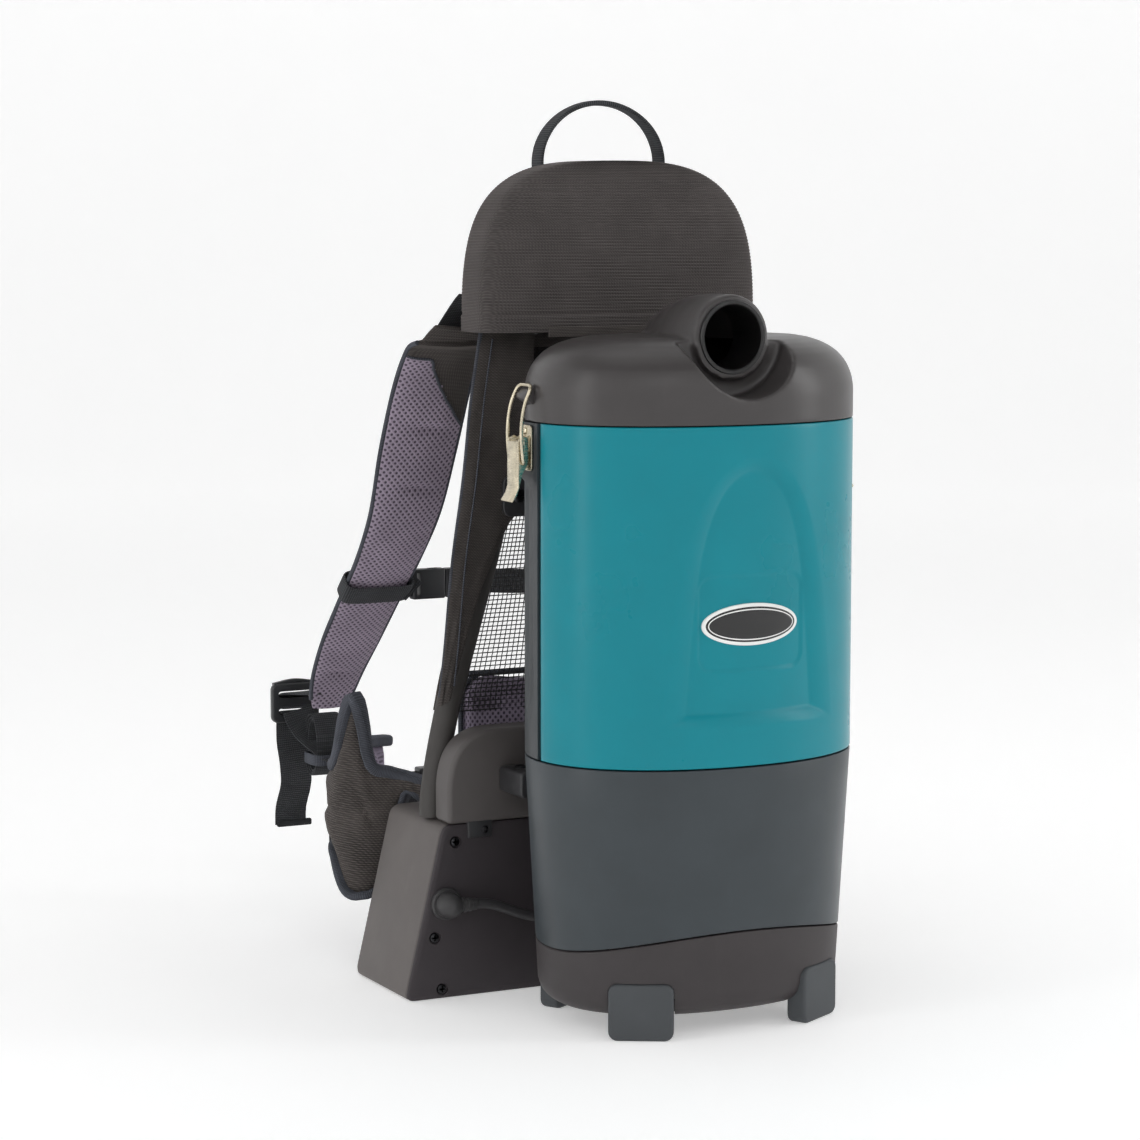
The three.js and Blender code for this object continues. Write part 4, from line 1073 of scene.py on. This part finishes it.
def carry_handle():
    """The carry handle: a webbing arch with its ends folded back inside the hood."""
    points = [(-46.2 * math.cos(t), TUBE_Y, 558 + 40.6 * math.sin(t)) for t in np.linspace(0, math.pi, 40)]
    points = [(-45.6, TUBE_Y, 550), *points, (45.6, TUBE_Y, 550)]
    angles = full_turn(24)
    across, through = squarish(angles, 5)
    ends = len(points)

    def section(k):
        grip = 1 - 0.32 * math.sin(math.pi * k / (ends - 1)) ** 4
        return across * 8 * grip, through * 1.15 / grip**1.2

    strap = sweep("carry_handle_webbing", smooth_path(points, ends), section, (0, 1, 0), "webbing")
    add(strap, "webbing", "carry_handle")


def sleeves():
    """Fabric sleeves wrapped round the tubes, with a stitched outer seam and loose drag folds."""
    count = 130
    across, through = squarish(full_turn(56), 2.6)
    out, inn = [smooth_path([(x, 0, z) for x, z in edge], count) for edge in (SLEEVE_OUT, SLEEVE_IN)]
    middle, half = (out + inn) / 2, (out - inn) / 2
    for side, s in SIDES:
        rings = []
        for k in range(count):
            t = k / (count - 1)
            fold = (0.9 * np.sin(across * 5 + t * 9) + 0.7 * np.sin(across * 11 - t * 21 + 2)
                    + 0.5 * np.sin(t * 55 + across * 6)) * (1 - np.abs(across) ** 4)
            swell = 2.8 + 0.8 * smoothstep(t, 0.0, 0.05)
            y = 117.2 + through * swell + np.sign(through) * fold * 0.42
            rings.append(stacked(s * (middle[k, 0] + half[k, 0] * across), y,
                                 middle[k, 2] + half[k, 2] * across))
        cloth_part = lofted("sleeve", rings, "sleeve_fabric", smooth_angle=60)
        edge = [(s * (a[0] - 1.2), 117, a[2]) for a in out[::6]]
        seam = [(s * (a[0] - 8.5), 112.7, a[2]) for a in out[2:-3:6]]
        parts = [cloth_part, rod("piping", edge, 1.5, "binding", 60, 10),
                 rod("seam", seam, 0.6, "binding", 60, 8)]
        add(joined(f"frame_sleeve_{side}_fabric", parts), "sleeve_fabric", f"frame_sleeve_{side}")


def back_mesh():
    """The stretched mesh back: a lattice of fine strands with real openings, bound along its sides."""
    def half_at(z):
        return float(np.interp(z, [186, 200, 260, 345, 440], [113.4, 111.4, 94.4, 71.4, 59.6]))

    low, high, pitch, columns, net_y = 187, 440, 3.0, 56, 143.4
    rows = int((high - low) / pitch)
    points = []
    for r in range(rows + 1):
        z = low + r * pitch
        u = np.linspace(-1, 1, columns + 1)
        y = net_y - 0.6 * (1 - u**2) * math.sin(math.pi * r / rows)
        points.append(stacked(u * half_at(z), y, z))
    net = mesh_object("back_mesh_net", np.vstack(points), grid_faces(rows + 1, columns + 1), "back_mesh")
    wire = net.modifiers.new("wire", "WIREFRAME")
    wire.thickness, wire.use_even_offset, wire.use_boundary = 0.0011, False, True
    applied(net)
    tidy_normals(net, 50)
    add(net, "back_mesh", "back_mesh_panel")
    yoke_rows = []
    for v in np.linspace(0, 1, 30):
        z = 338 + 102 * v
        u = np.linspace(-1, 1, 40)
        sag = 0.8 * np.sin(u * 7 + v * 5) * math.sin(math.pi * v)
        low_edge = 7 * (1 - v) * (1 - u**2)
        yoke_rows.append(stacked(u * (half_at(z) - 1), 146 + sag, z + low_edge))
    yoke = mesh_object("back_yoke_cloth", np.vstack(yoke_rows), grid_faces(30, 40), "sleeve_fabric", 80)
    thick = yoke.modifiers.new("thick", "SOLIDIFY")
    thick.thickness = 0.0014
    applied(yoke)
    add(yoke, "sleeve_fabric")
    for side, s in SIDES:
        route = [(s * half_at(z), 143.2, z) for z in np.linspace(188, 439, 12)]
        hems = [webbing("hem", route, 12, (1, 0, 0), 2.6, "sleeve_fabric", 70, 0.2)]
        if s > 0:
            top = [(-59, 143.2, 438), (0, 143, 438.6), (59, 143.2, 438)]
            hems.append(webbing("hem_top", top, 9, (0, 0, 1), 2.2, "sleeve_fabric", 30))
        add(joined(f"back_mesh_hem_{side}", hems), "sleeve_fabric")


# ---------------------------------------------------------------- padded parts
def inflated(obj, voxel, cap):
    """The piece remeshed and blown up a little by a pressure cloth, its travel capped."""
    pressure, frames = 4.0, 20
    remesh = obj.modifiers.new("remesh", "REMESH")
    remesh.mode, remesh.voxel_size = "VOXEL", voxel
    applied(obj)
    start = np.array([v.co[:] for v in obj.data.vertices])
    sim = obj.modifiers.new("cloth", "CLOTH")
    sim.settings.use_pressure = True
    sim.settings.uniform_pressure_force = pressure
    sim.settings.effector_weights.gravity = 0
    sim.settings.quality = 5
    sim.settings.tension_stiffness = sim.settings.compression_stiffness = 12
    for f in range(1, frames + 1):
        bpy.context.scene.frame_set(f)
    applied(obj)
    bpy.context.scene.frame_set(1)
    end = np.array([v.co[:] for v in obj.data.vertices])
    if len(end) == len(start):
        move = end - start
        far = np.linalg.norm(move, axis=1)
        move *= np.minimum(1, cap / np.maximum(far, 1e-9))[:, None]
        obj.data.vertices.foreach_set("co", (start + move).ravel())
    sub = obj.modifiers.new("sub", "SUBSURF")
    sub.levels = sub.render_levels = 1
    applied(obj)
    tidy_normals(obj, 80)
    return obj


def vertices_mm(obj):
    """An object's vertices in the machine's own millimetres."""
    return np.array([v.co[:] for v in obj.data.vertices]) * 1000 + (0, MIDDLE, 0)


def set_vertices(obj, points):
    obj.data.vertices.foreach_set("co", metres(points).ravel())
    obj.data.update()


STRAP_LINE = [(152, 438, 29), (168, 433, 29), (190, 408, 29), (215, 362, 29), (238, 316, 27), (268, 280, 25),
              (304, 246, 24), (337, 214, 23), (364, 185, 20), (377, 166, 17), (382, 157, 14)]


def strap_route(s):
    """Points (x, y, z, half width) down one shoulder strap."""
    return smooth_path([(s * STRAP_X, y, z, half) for y, z, half in STRAP_LINE], 320)


def shoulder_strap(side, s):
    """A padded strap: spacer mesh towards the wearer, plain cloth outside, bound edges, sewn tucks."""
    path = strap_route(s)
    columns, half_thick = 72, 5.4
    across, through = squarish(full_turn(columns), 2.7)
    count = len(path)

    def patch_end(inner):
        """How far down the strap its plain top patch reaches, from its outer edge (-1) to its inner (1)."""
        return 0.06 + 0.17 * max(0, (inner + 0.35) / 1.35) ** 0.8

    def section(k):
        t = k / (count - 1)
        half = path[k, 3] - 0.8
        thinned = (1 - 0.55 * smoothstep(t, 0.88, 1.0)) * (1 - 0.45 * (1 - smoothstep(t, 0.0, 0.05)))
        thick = half_thick * thinned
        quilt = 0.175 * np.sin(t * 60 + across * 2.2)
        dent = sum(3.4 * np.exp(-((t - at - 0.006 * across) / wide) ** 2 - ((across - where) / 0.42) ** 2)
                   for at, where, wide in ((0.23, 0.1, 0.010), (0.36, 0.1, 0.010), (0.90, -0.1, 0.012)))
        swell = 1 + 0.10 * np.cos(across * math.pi)
        body = through * thick * swell + np.sign(through) * (quilt - dent * (np.abs(through) > 0.3))
        return across * half * (1 + 0.01 * math.sin(t * 40)), body

    strap = sweep("pad", path, section, (1, 0, 0), "air_mesh", 70)
    strap.data.materials.append(LOOKS["sleeve_fabric"])
    for p in strap.data.polygons:
        ring = min(i for i in p.vertices) // columns
        t = ring / (count - 1)
        x = np.mean([strap.data.vertices[i].co.x for i in p.vertices]) * 1000
        inner_side = (x - s * STRAP_X) / 29 * -s
        to_wearer = p.normal.y < -0.05 or (p.normal.z < -0.25 and p.normal.y < 0.25)
        top_patch = t < patch_end(inner_side)
        p.material_index = 0 if to_wearer and not top_patch else 1
    pieces = [strap]
    for edge in (-1, 1):
        line = [(p[0] + edge * (p[3] - 0.6), p[1], p[2]) for p in path[::12]]
        pieces.append(rod("piping", line, 1.7, "binding", 110, 12))
    seam = []
    for a in np.linspace(-0.96, 0.96, 22):
        k = int(patch_end(-s * a) * (count - 1))
        bulge = 5.6 * (1 - abs(a) ** 2.7) ** (1 / 2.7) * (1 + 0.1 * math.cos(a * math.pi)) + 0.2
        seam.append((path[k, 0] + a * path[k, 3], path[k, 1] - 0.68 * bulge, path[k, 2] - 0.73 * bulge))
    pieces.append(rod("seam", seam, 1.0, "binding", 80, 10))
    obj = joined(f"shoulder_strap_{side}_pad", pieces)
    add(obj, "air_mesh", f"shoulder_strap_{side}")

    load = [(s * 92, 138.5, 469), (s * 94, 145, 463), (s * 96.5, 160, 449.5), (s * STRAP_X, 175, 437.5)]
    lifter = webbing(f"load_lifter_{side}", load, 20, (1, 0, 0), 1.5, ripple=0.2)
    add(lifter, "webbing")
    root = [(s * 95, 140.5, 447), (s * 96, 145, 444), (s * STRAP_X, 151, 440), (s * STRAP_X, 157, 437)]
    add(webbing(f"strap_root_{side}", root, 50, (1, 0, 0), 2.6, "sleeve_fabric", ripple=0.3), "sleeve_fabric")


def ladder_lock(side, s):
    """The strap's adjuster: a ladder lock with a hooked lip, its webbing and the free tail."""
    x = s * LADDER_X
    outline = rounded_outline(x - 19, x + 19, 142, 172, 5)
    plate = slab("plate", outline, 410.2, 415.8, "y", "buckle_black", 1.4)
    slots = [slab("slot", rounded_outline(x - 14, x + 14, z0, z1, 2), 400, 430, "y", "buckle_black", 0)
             for z0, z1 in ((148, 153), (161, 166))]
    plate = combined(plate, slots, smooth_angle=35)
    line = [(x - 17, 413.5, 171), (x, 414.4, 173.2), (x + 17, 413.5, 171)]
    lip = webbing("lip", line, 4.4, (0, 1, 0), 3.2, "buckle_black")
    add(joined(f"ladder_lock_{side}_frame", [plate, lip]), "buckle_black", f"ladder_lock_{side}")
    upper = [(s * 98, 376, 168), (s * 103, 388, 166.5), (s * 109, 400, 165.6), (x, 407, 165), (x, 413, 163.5),
             (x, 418, 160.5), (x, 418, 157.5), (x, 413, 155), (x, 408.4, 153.5)]
    lower = [(x, 408.0, 150.5), (x, 413, 150.4), (x, 418.5, 148), (x, 419.8, 140), (x, 419.4, 126),
             (x - s * 1, 416, 110), (x - s * 2, 417, 94), (x + s * 1, 420, 76), (x + s * 2, 419, 62)]
    belt_side = [(x, 407.6, 152), (x - s * 2, 404, 144), (x - s * 8, 396, 132), (s * 97, 378, 122),
                 (s * 88, 362, 116), (s * 82, 350, 110)]
    for name, route in (("upper", upper), ("tail", lower), ("belt", belt_side)):
        strip = webbing(f"strap_webbing_{name}_{side}", route, 25, (1, 0, 0), 1.5, ripple=0.15, count=90)
        add(strip, "webbing")
    hem = box_of(f"tail_stop_{side}", (x - 12.6, 417.4, 61), (x + 15, 421.4, 66), "webbing", 1.2)
    add(hem, "webbing")
    roll = []
    for turn in range(3):
        grow = 1.9 * turn
        loop = [(s * 99, 384 + grow + (9 + grow) * math.cos(a), 128 + (19 + grow) * math.sin(a))
                for a in np.linspace(0.4 * turn, 2 * math.pi - 0.7, 16)]
        roll.append(webbing("turn", loop, 22, (1, 0, 0), 1.5, ripple=0.1))
    add(joined(f"webbing_roll_{side}", roll), "webbing")
    keeper = [(s * 99 + 13 * a, 385 + 13.6 * b, 118) for a, b in
              zip(*squarish(np.linspace(0, 2 * math.pi, 24), 4))]
    add(webbing(f"roll_keeper_{side}", keeper, 8, (0, 0, 1), 1.6, "binding"), "webbing")
    clip = [(s * 86, 384, 136), (s * 85, 388, 122), (s * 85, 389, 104), (s * 86, 386, 92)]
    add(webbing(f"strap_clip_{side}", clip, 9, (0, 1, 0.1), 1.8, "buckle_black"), "buckle_black")


BELT_LINE = [
    (96, 170, 119, 131), (106, 187, 119, 134), (115, 200, 119, 137), (124, 206, 62, 140),
    (137, 210, 50, 146), (142, 213, 48, 178), (145.5, 218, 47, 193), (148, 225, 50, 180),
    (149, 232, 58, 157), (148, 242, 70, 143), (144, 255, 76, 140), (122, 296, 72, 138),
    (103, 322, 68, 137), (82, 347, 68, 137), (58, 366, 70, 134),
]


def hip_belt(side, s):
    """One padded wing of the hip belt, blown up by cloth, then quilted, with bound edges."""
    path = smooth_path([(s * x, y, 0, low, high) for x, y, low, high in BELT_LINE], 110)
    ahead = unit(np.gradient(path[:, :3], axis=0))
    outward = stacked(ahead[:, 1], -ahead[:, 0]) * s
    half_thick, webbing_out, webbing_z = 4.6, 6.9, 93
    up, through = squarish(full_turn(44), 3.0)
    body = through * half_thick
    rings = []
    for k in range(len(path)):
        low, high = path[k, 3] + 1, path[k, 4] - 1
        z = (low + high) / 2 + (high - low) / 2 * up
        rings.append(stacked(path[k, 0] + outward[k, 0] * body, path[k, 1] + outward[k, 1] * body, z))
    wing = inflated(lofted("wing", rings, "belt_fabric"), 0.0045, 0.0035)
    points = vertices_mm(wing)
    near = np.argmin(np.linalg.norm(points[:, None, :2] - path[None, :, :2], axis=2), axis=1)
    t = near / (len(path) - 1)
    offset = ((points[:, :2] - path[near, :2]) * outward[near]).sum(1)
    height = (points[:, 2] - path[near, 3]) / (path[near, 4] - path[near, 3])
    ridge = 0.7 * np.sin((height * 9 + t * 26)) + 0.5 * np.sin(height * 23 - t * 31)
    channel = -1.6 * np.exp(-((height - 0.5 - 0.05 * np.sin(t * 9)) / 0.03) ** 2)
    points[:, :2] += outward[near] * (np.where(offset > 0, ridge + channel, -0.4 * channel))[:, None]
    set_vertices(wing, points)
    wing.data.materials.append(LOOKS["pad_mesh"])
    for p in wing.data.polygons:
        k = near[p.vertices[0]]
        p.material_index = 1 if p.normal.x * outward[k, 0] + p.normal.y * outward[k, 1] < -0.2 else 0
    pieces = [wing]
    across, through = squarish(full_turn(24), 3.5)
    facing = np.column_stack([outward, np.zeros(len(path))])
    for column, shift, tall in ((3, 2.0, 2.8), (4, -3.2, 4.3)):
        line = np.column_stack([path[:, :2], path[:, column] + shift])
        pieces.append(sweep("binding", line, (across * 6.3, through * tall), facing, "binding"))
    obj = joined(f"hip_belt_{side}_wing", pieces)
    add(obj, "belt_fabric", f"hip_belt_{side}")

    line = [(*(path[k, :2] + outward[k] * webbing_out), webbing_z) for k in range(58, len(path) - 2, 6)]
    add(webbing(f"belt_outer_webbing_{side}", line, 36, (0, 0, 1), 1.6, ripple=0.2, count=120), "webbing")


def lumbar_pad():
    """The quilted lumbar cushion, blown up by cloth, then sewn in three channels, with piping."""
    half_wide, low, high, middle_y, half_deep = 93, 126, 210, 155, 7
    shape = rounded_outline(-half_wide, half_wide, low, high, 18, 8)
    pad = slab("pad", shape, middle_y - half_deep, middle_y + half_deep, "y", "pad_mesh", 4)
    pad = inflated(pad, 0.005, 0.005)
    points = vertices_mm(pad)
    groove = np.zeros(len(points))
    for x in (-46, 0, 46):
        groove += 3.4 * np.exp(-((points[:, 0] - x) / 3.2) ** 2)
    inside = 1 - smoothstep(np.abs(points[:, 2] - (low + high) / 2), 30, 40)
    points[:, 1] -= np.sign(points[:, 1] - middle_y) * groove * inside
    set_vertices(pad, points)
    line = [(u, middle_y, v) for u, v in [*shape, shape[0]]]
    obj = joined("lumbar_pad_cushion", [pad, rod("piping", line, 1.9, "binding", 200, 12)])
    add(obj, "air_mesh", "lumbar_pad")


# ---------------------------------------------------------------- buckles and their webbing
def side_release(prefix, x, y, z, size, plug_length, body):
    """A side-release buckle: hollow socket with side windows, three-armed plug, strap bars."""
    half_y, half_z, deep = size * 0.4, size, size * 1.6
    start, end = x - deep - 8, x + plug_length

    def block(x0, x1, out_y, low_z, high_z, bevel=0.0, segments=3):
        """A block about the buckle's middle plane: out_y to each side in depth, from low_z to high_z."""
        return box_of("block", (x0, y - out_y, z + low_z), (x1, y + out_y, z + high_z), "buckle_black",
                      bevel, segments)

    cuts = [block(x - deep, x + 1, half_y - 2, 2.5 - half_z, half_z - 2.5)]
    cuts += [block(x - deep * 0.72, x - deep * 0.25, half_y - 1.4, s * half_z - 3, s * half_z + 3)
             for _, s in SIDES]
    cuts.append(block(start + 3, start + 5.6, 10, 2.6 - half_z, half_z - 2.6))
    shell = combined(block(start, x, half_y, -half_z, half_z, 1.4, 4), cuts, smooth_angle=40)
    add(shell, "buckle_black", f"{prefix}_buckle_socket")
    shell.name = f"{prefix}_buckle_shell"

    base = block(x + 0.4, end, half_y - 0.3, 0.4 - half_z, half_z - 0.4, 1.3, 4)
    base = combined(base, [block(end - 7.4, end - 3.4, 10, 3 - half_z, half_z - 3)], smooth_angle=40)
    arms = []
    for _, s in SIDES:
        low, high = sorted((s * (half_z - 3.0), s * (half_z - 5.8)))
        arms.append(block(x - deep + 1.4, x + 2, half_y - 2.7, low, high, 0.7))
    arms.append(block(x - deep + 3, x + 2, half_y - 2.8, -1.2, 1.2, 0.6))
    add(joined(f"{prefix}_buckle_fork", [base, *arms]), "buckle_black", f"{prefix}_buckle_plug", body=body)
    return start, end


def crossing(name, route, wide, side, thick, ripple):
    """A fixed webbing from a buckle's plug to the frame, along a smooth route."""
    strip = webbing(name, route, wide, side, thick, count=110, ripple=ripple)
    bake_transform(strip)


def buckles():
    """The belt and sternum buckles at their CAD places, and the webbing that runs to them."""
    y, z = BELT_BUCKLE
    start, end = side_release("belt", 2, y, z, 15, 22, "belt_plug")
    left = [(start + 4, y, z), (start - 4, 373.5, z), (-42, 372, z), (-54, 367, z), (-66, 368.5, z),
            (-80, 358, z), (-92, 347, 91), (-102, 336, 90)]
    add(webbing("belt_webbing_left", left, 24, (0, 0, 1), 1.5, count=80, ripple=0.15), "webbing")
    right = [(end - 5, y, z), (end + 3, 373.5, z), (42, 372, z), (54, 370, z), (66, 369, z), (80, 358, z),
             (92, 347, 91), (102, 336, 90)]
    crossing("belt_webbing_right", right, 24, (0, 0, 1), 1.5,
             0.15)

    y, z = STERNUM_BUCKLE
    start, end = side_release("sternum", -44, y, z, 11, 15, "sternum_plug")
    path = strap_route(-1)
    at = path[np.argmin(np.hypot(path[:, 1] - y, path[:, 2] - z))]
    along, out = np.array((0, 0.73, -0.68)), np.array((0, 0.68, 0.73))
    wide, thick = at[3] + 1.6, 8.4
    across, through = squarish(np.linspace(0, 2 * math.pi, 40), 5)
    loops = []
    for _, s in SIDES:
        ring = [np.array((s * STRAP_X + wide * a, at[1], at[2])) + out * thick * b
                for a, b in zip(across, through)]
        loops.append(webbing("loop", ring, 18, along, 1.5, count=160))
    add(joined("sternum_strap_loops", loops), "webbing")
    left = [(start + 4, y, z), (start - 3, y, z), (-69, 287, 252)]
    add(webbing("sternum_webbing_left", left, 18, (0, 0.2, 1), 1.4, count=40), "webbing")
    right = [(end - 5, y, z), (end + 5, 293, 257.5), (-6, 297, 256), (20, 298, 254), (48, 294, 254),
             (68, 288, 252.5)]
    crossing("sternum_webbing_right", right, 18, (0, 0.2, 1), 1.4,
             0.1)


# ---------------------------------------------------------------- stage
def stage():
    """A pale floor that curves up into a pale wall all round."""
    mat, tree, shader = blank("stage", 0.75)
    tint = noise(tree, place(tree), 0.8, 2.0)
    tree.links.new(mixed(tree, tint, (0.86, 0.86, 0.86, 1), (0.9, 0.9, 0.9, 1)), shader.inputs["Base Color"])
    shader.inputs["Emission Color"].default_value = (1, 1, 1, 1)
    shader.inputs["Emission Strength"].default_value = 0.33
    angles = full_turn(96)
    flat, cove, tall = 3.8, 1.4, 6.0
    profile = [(0.001, 0), (flat, 0)]
    bend = np.linspace(0.1, math.pi / 2, 12)
    profile += [(flat + cove * math.sin(a), cove - cove * math.cos(a)) for a in bend]
    profile += [(flat + cove, tall)]
    points = [(r * math.cos(a), r * math.sin(a), z) for r, z in profile for a in angles]
    data = bpy.data.meshes.new("studio_floor")
    data.from_pydata(points, [], grid_faces(len(profile), len(angles), wrap_columns=True))
    data.materials.append(mat)
    data.polygons.foreach_set("use_smooth", [True] * len(data.polygons))
    linked("studio_floor", data)


def soft_box(name, place_at, target, size, power):
    """An area light of `power` watts that faces its target."""
    data = bpy.data.lights.new(name, "AREA")
    data.shape, data.size, data.size_y, data.energy = "RECTANGLE", *size, power
    lamp = linked(name, data)
    lamp.location = place_at
    lamp.rotation_euler = (Vector(target) - Vector(place_at)).to_track_quat("-Z", "Y").to_euler()


def lights():
    """Plain soft studio light: one key from the right, fills, and a pale world."""
    bpy.context.scene.view_settings.view_transform = "Standard"
    world = bpy.data.worlds.new("studio")
    world.use_nodes = True
    background = world.node_tree.nodes["Background"].inputs
    background["Color"].default_value, background["Strength"].default_value = (1, 1, 1, 1), 0.15
    bpy.context.scene.world = world
    soft_box("key_right", (1.75, -1.15, 1.05), (0.05, -0.1, 0.3), (0.45, 1.7), 9)
    soft_box("side_left", (-1.7, -0.35, 0.8), (-0.05, 0, 0.3), (0.35, 1.5), 4.5)
    soft_box("front", (-0.7, -2.2, 1.7), (0, 0, 0.3), (1.2, 0.7), 3)
    soft_box("top", (0, 0.1, 2.1), (0, 0, 0.3), (1.4, 1.4), 5)


def dress_inner_nodes():
    """Every CAD node that stays visible gets its finished material, slot by slot."""
    for name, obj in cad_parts.items():
        for slot in obj.material_slots:
            key = slot.material.name.split(".")[0]
            if key in LOOKS:
                slot.material = LOOKS[key]


place_camera()
LOOKS = make_looks()
lead()
stage()
lights()
front_cover()
badge()
rear_shell()
lower_body()
lid()
for side, sign in SIDES:
    latch(side, sign)
battery_box()
tube_frame()
hood()
carry_handle()
sleeves()
back_mesh()
for side, sign in SIDES:
    shoulder_strap(side, sign)
    ladder_lock(side, sign)
    hip_belt(side, sign)
lumbar_pad()
buckles()
dress_inner_nodes()
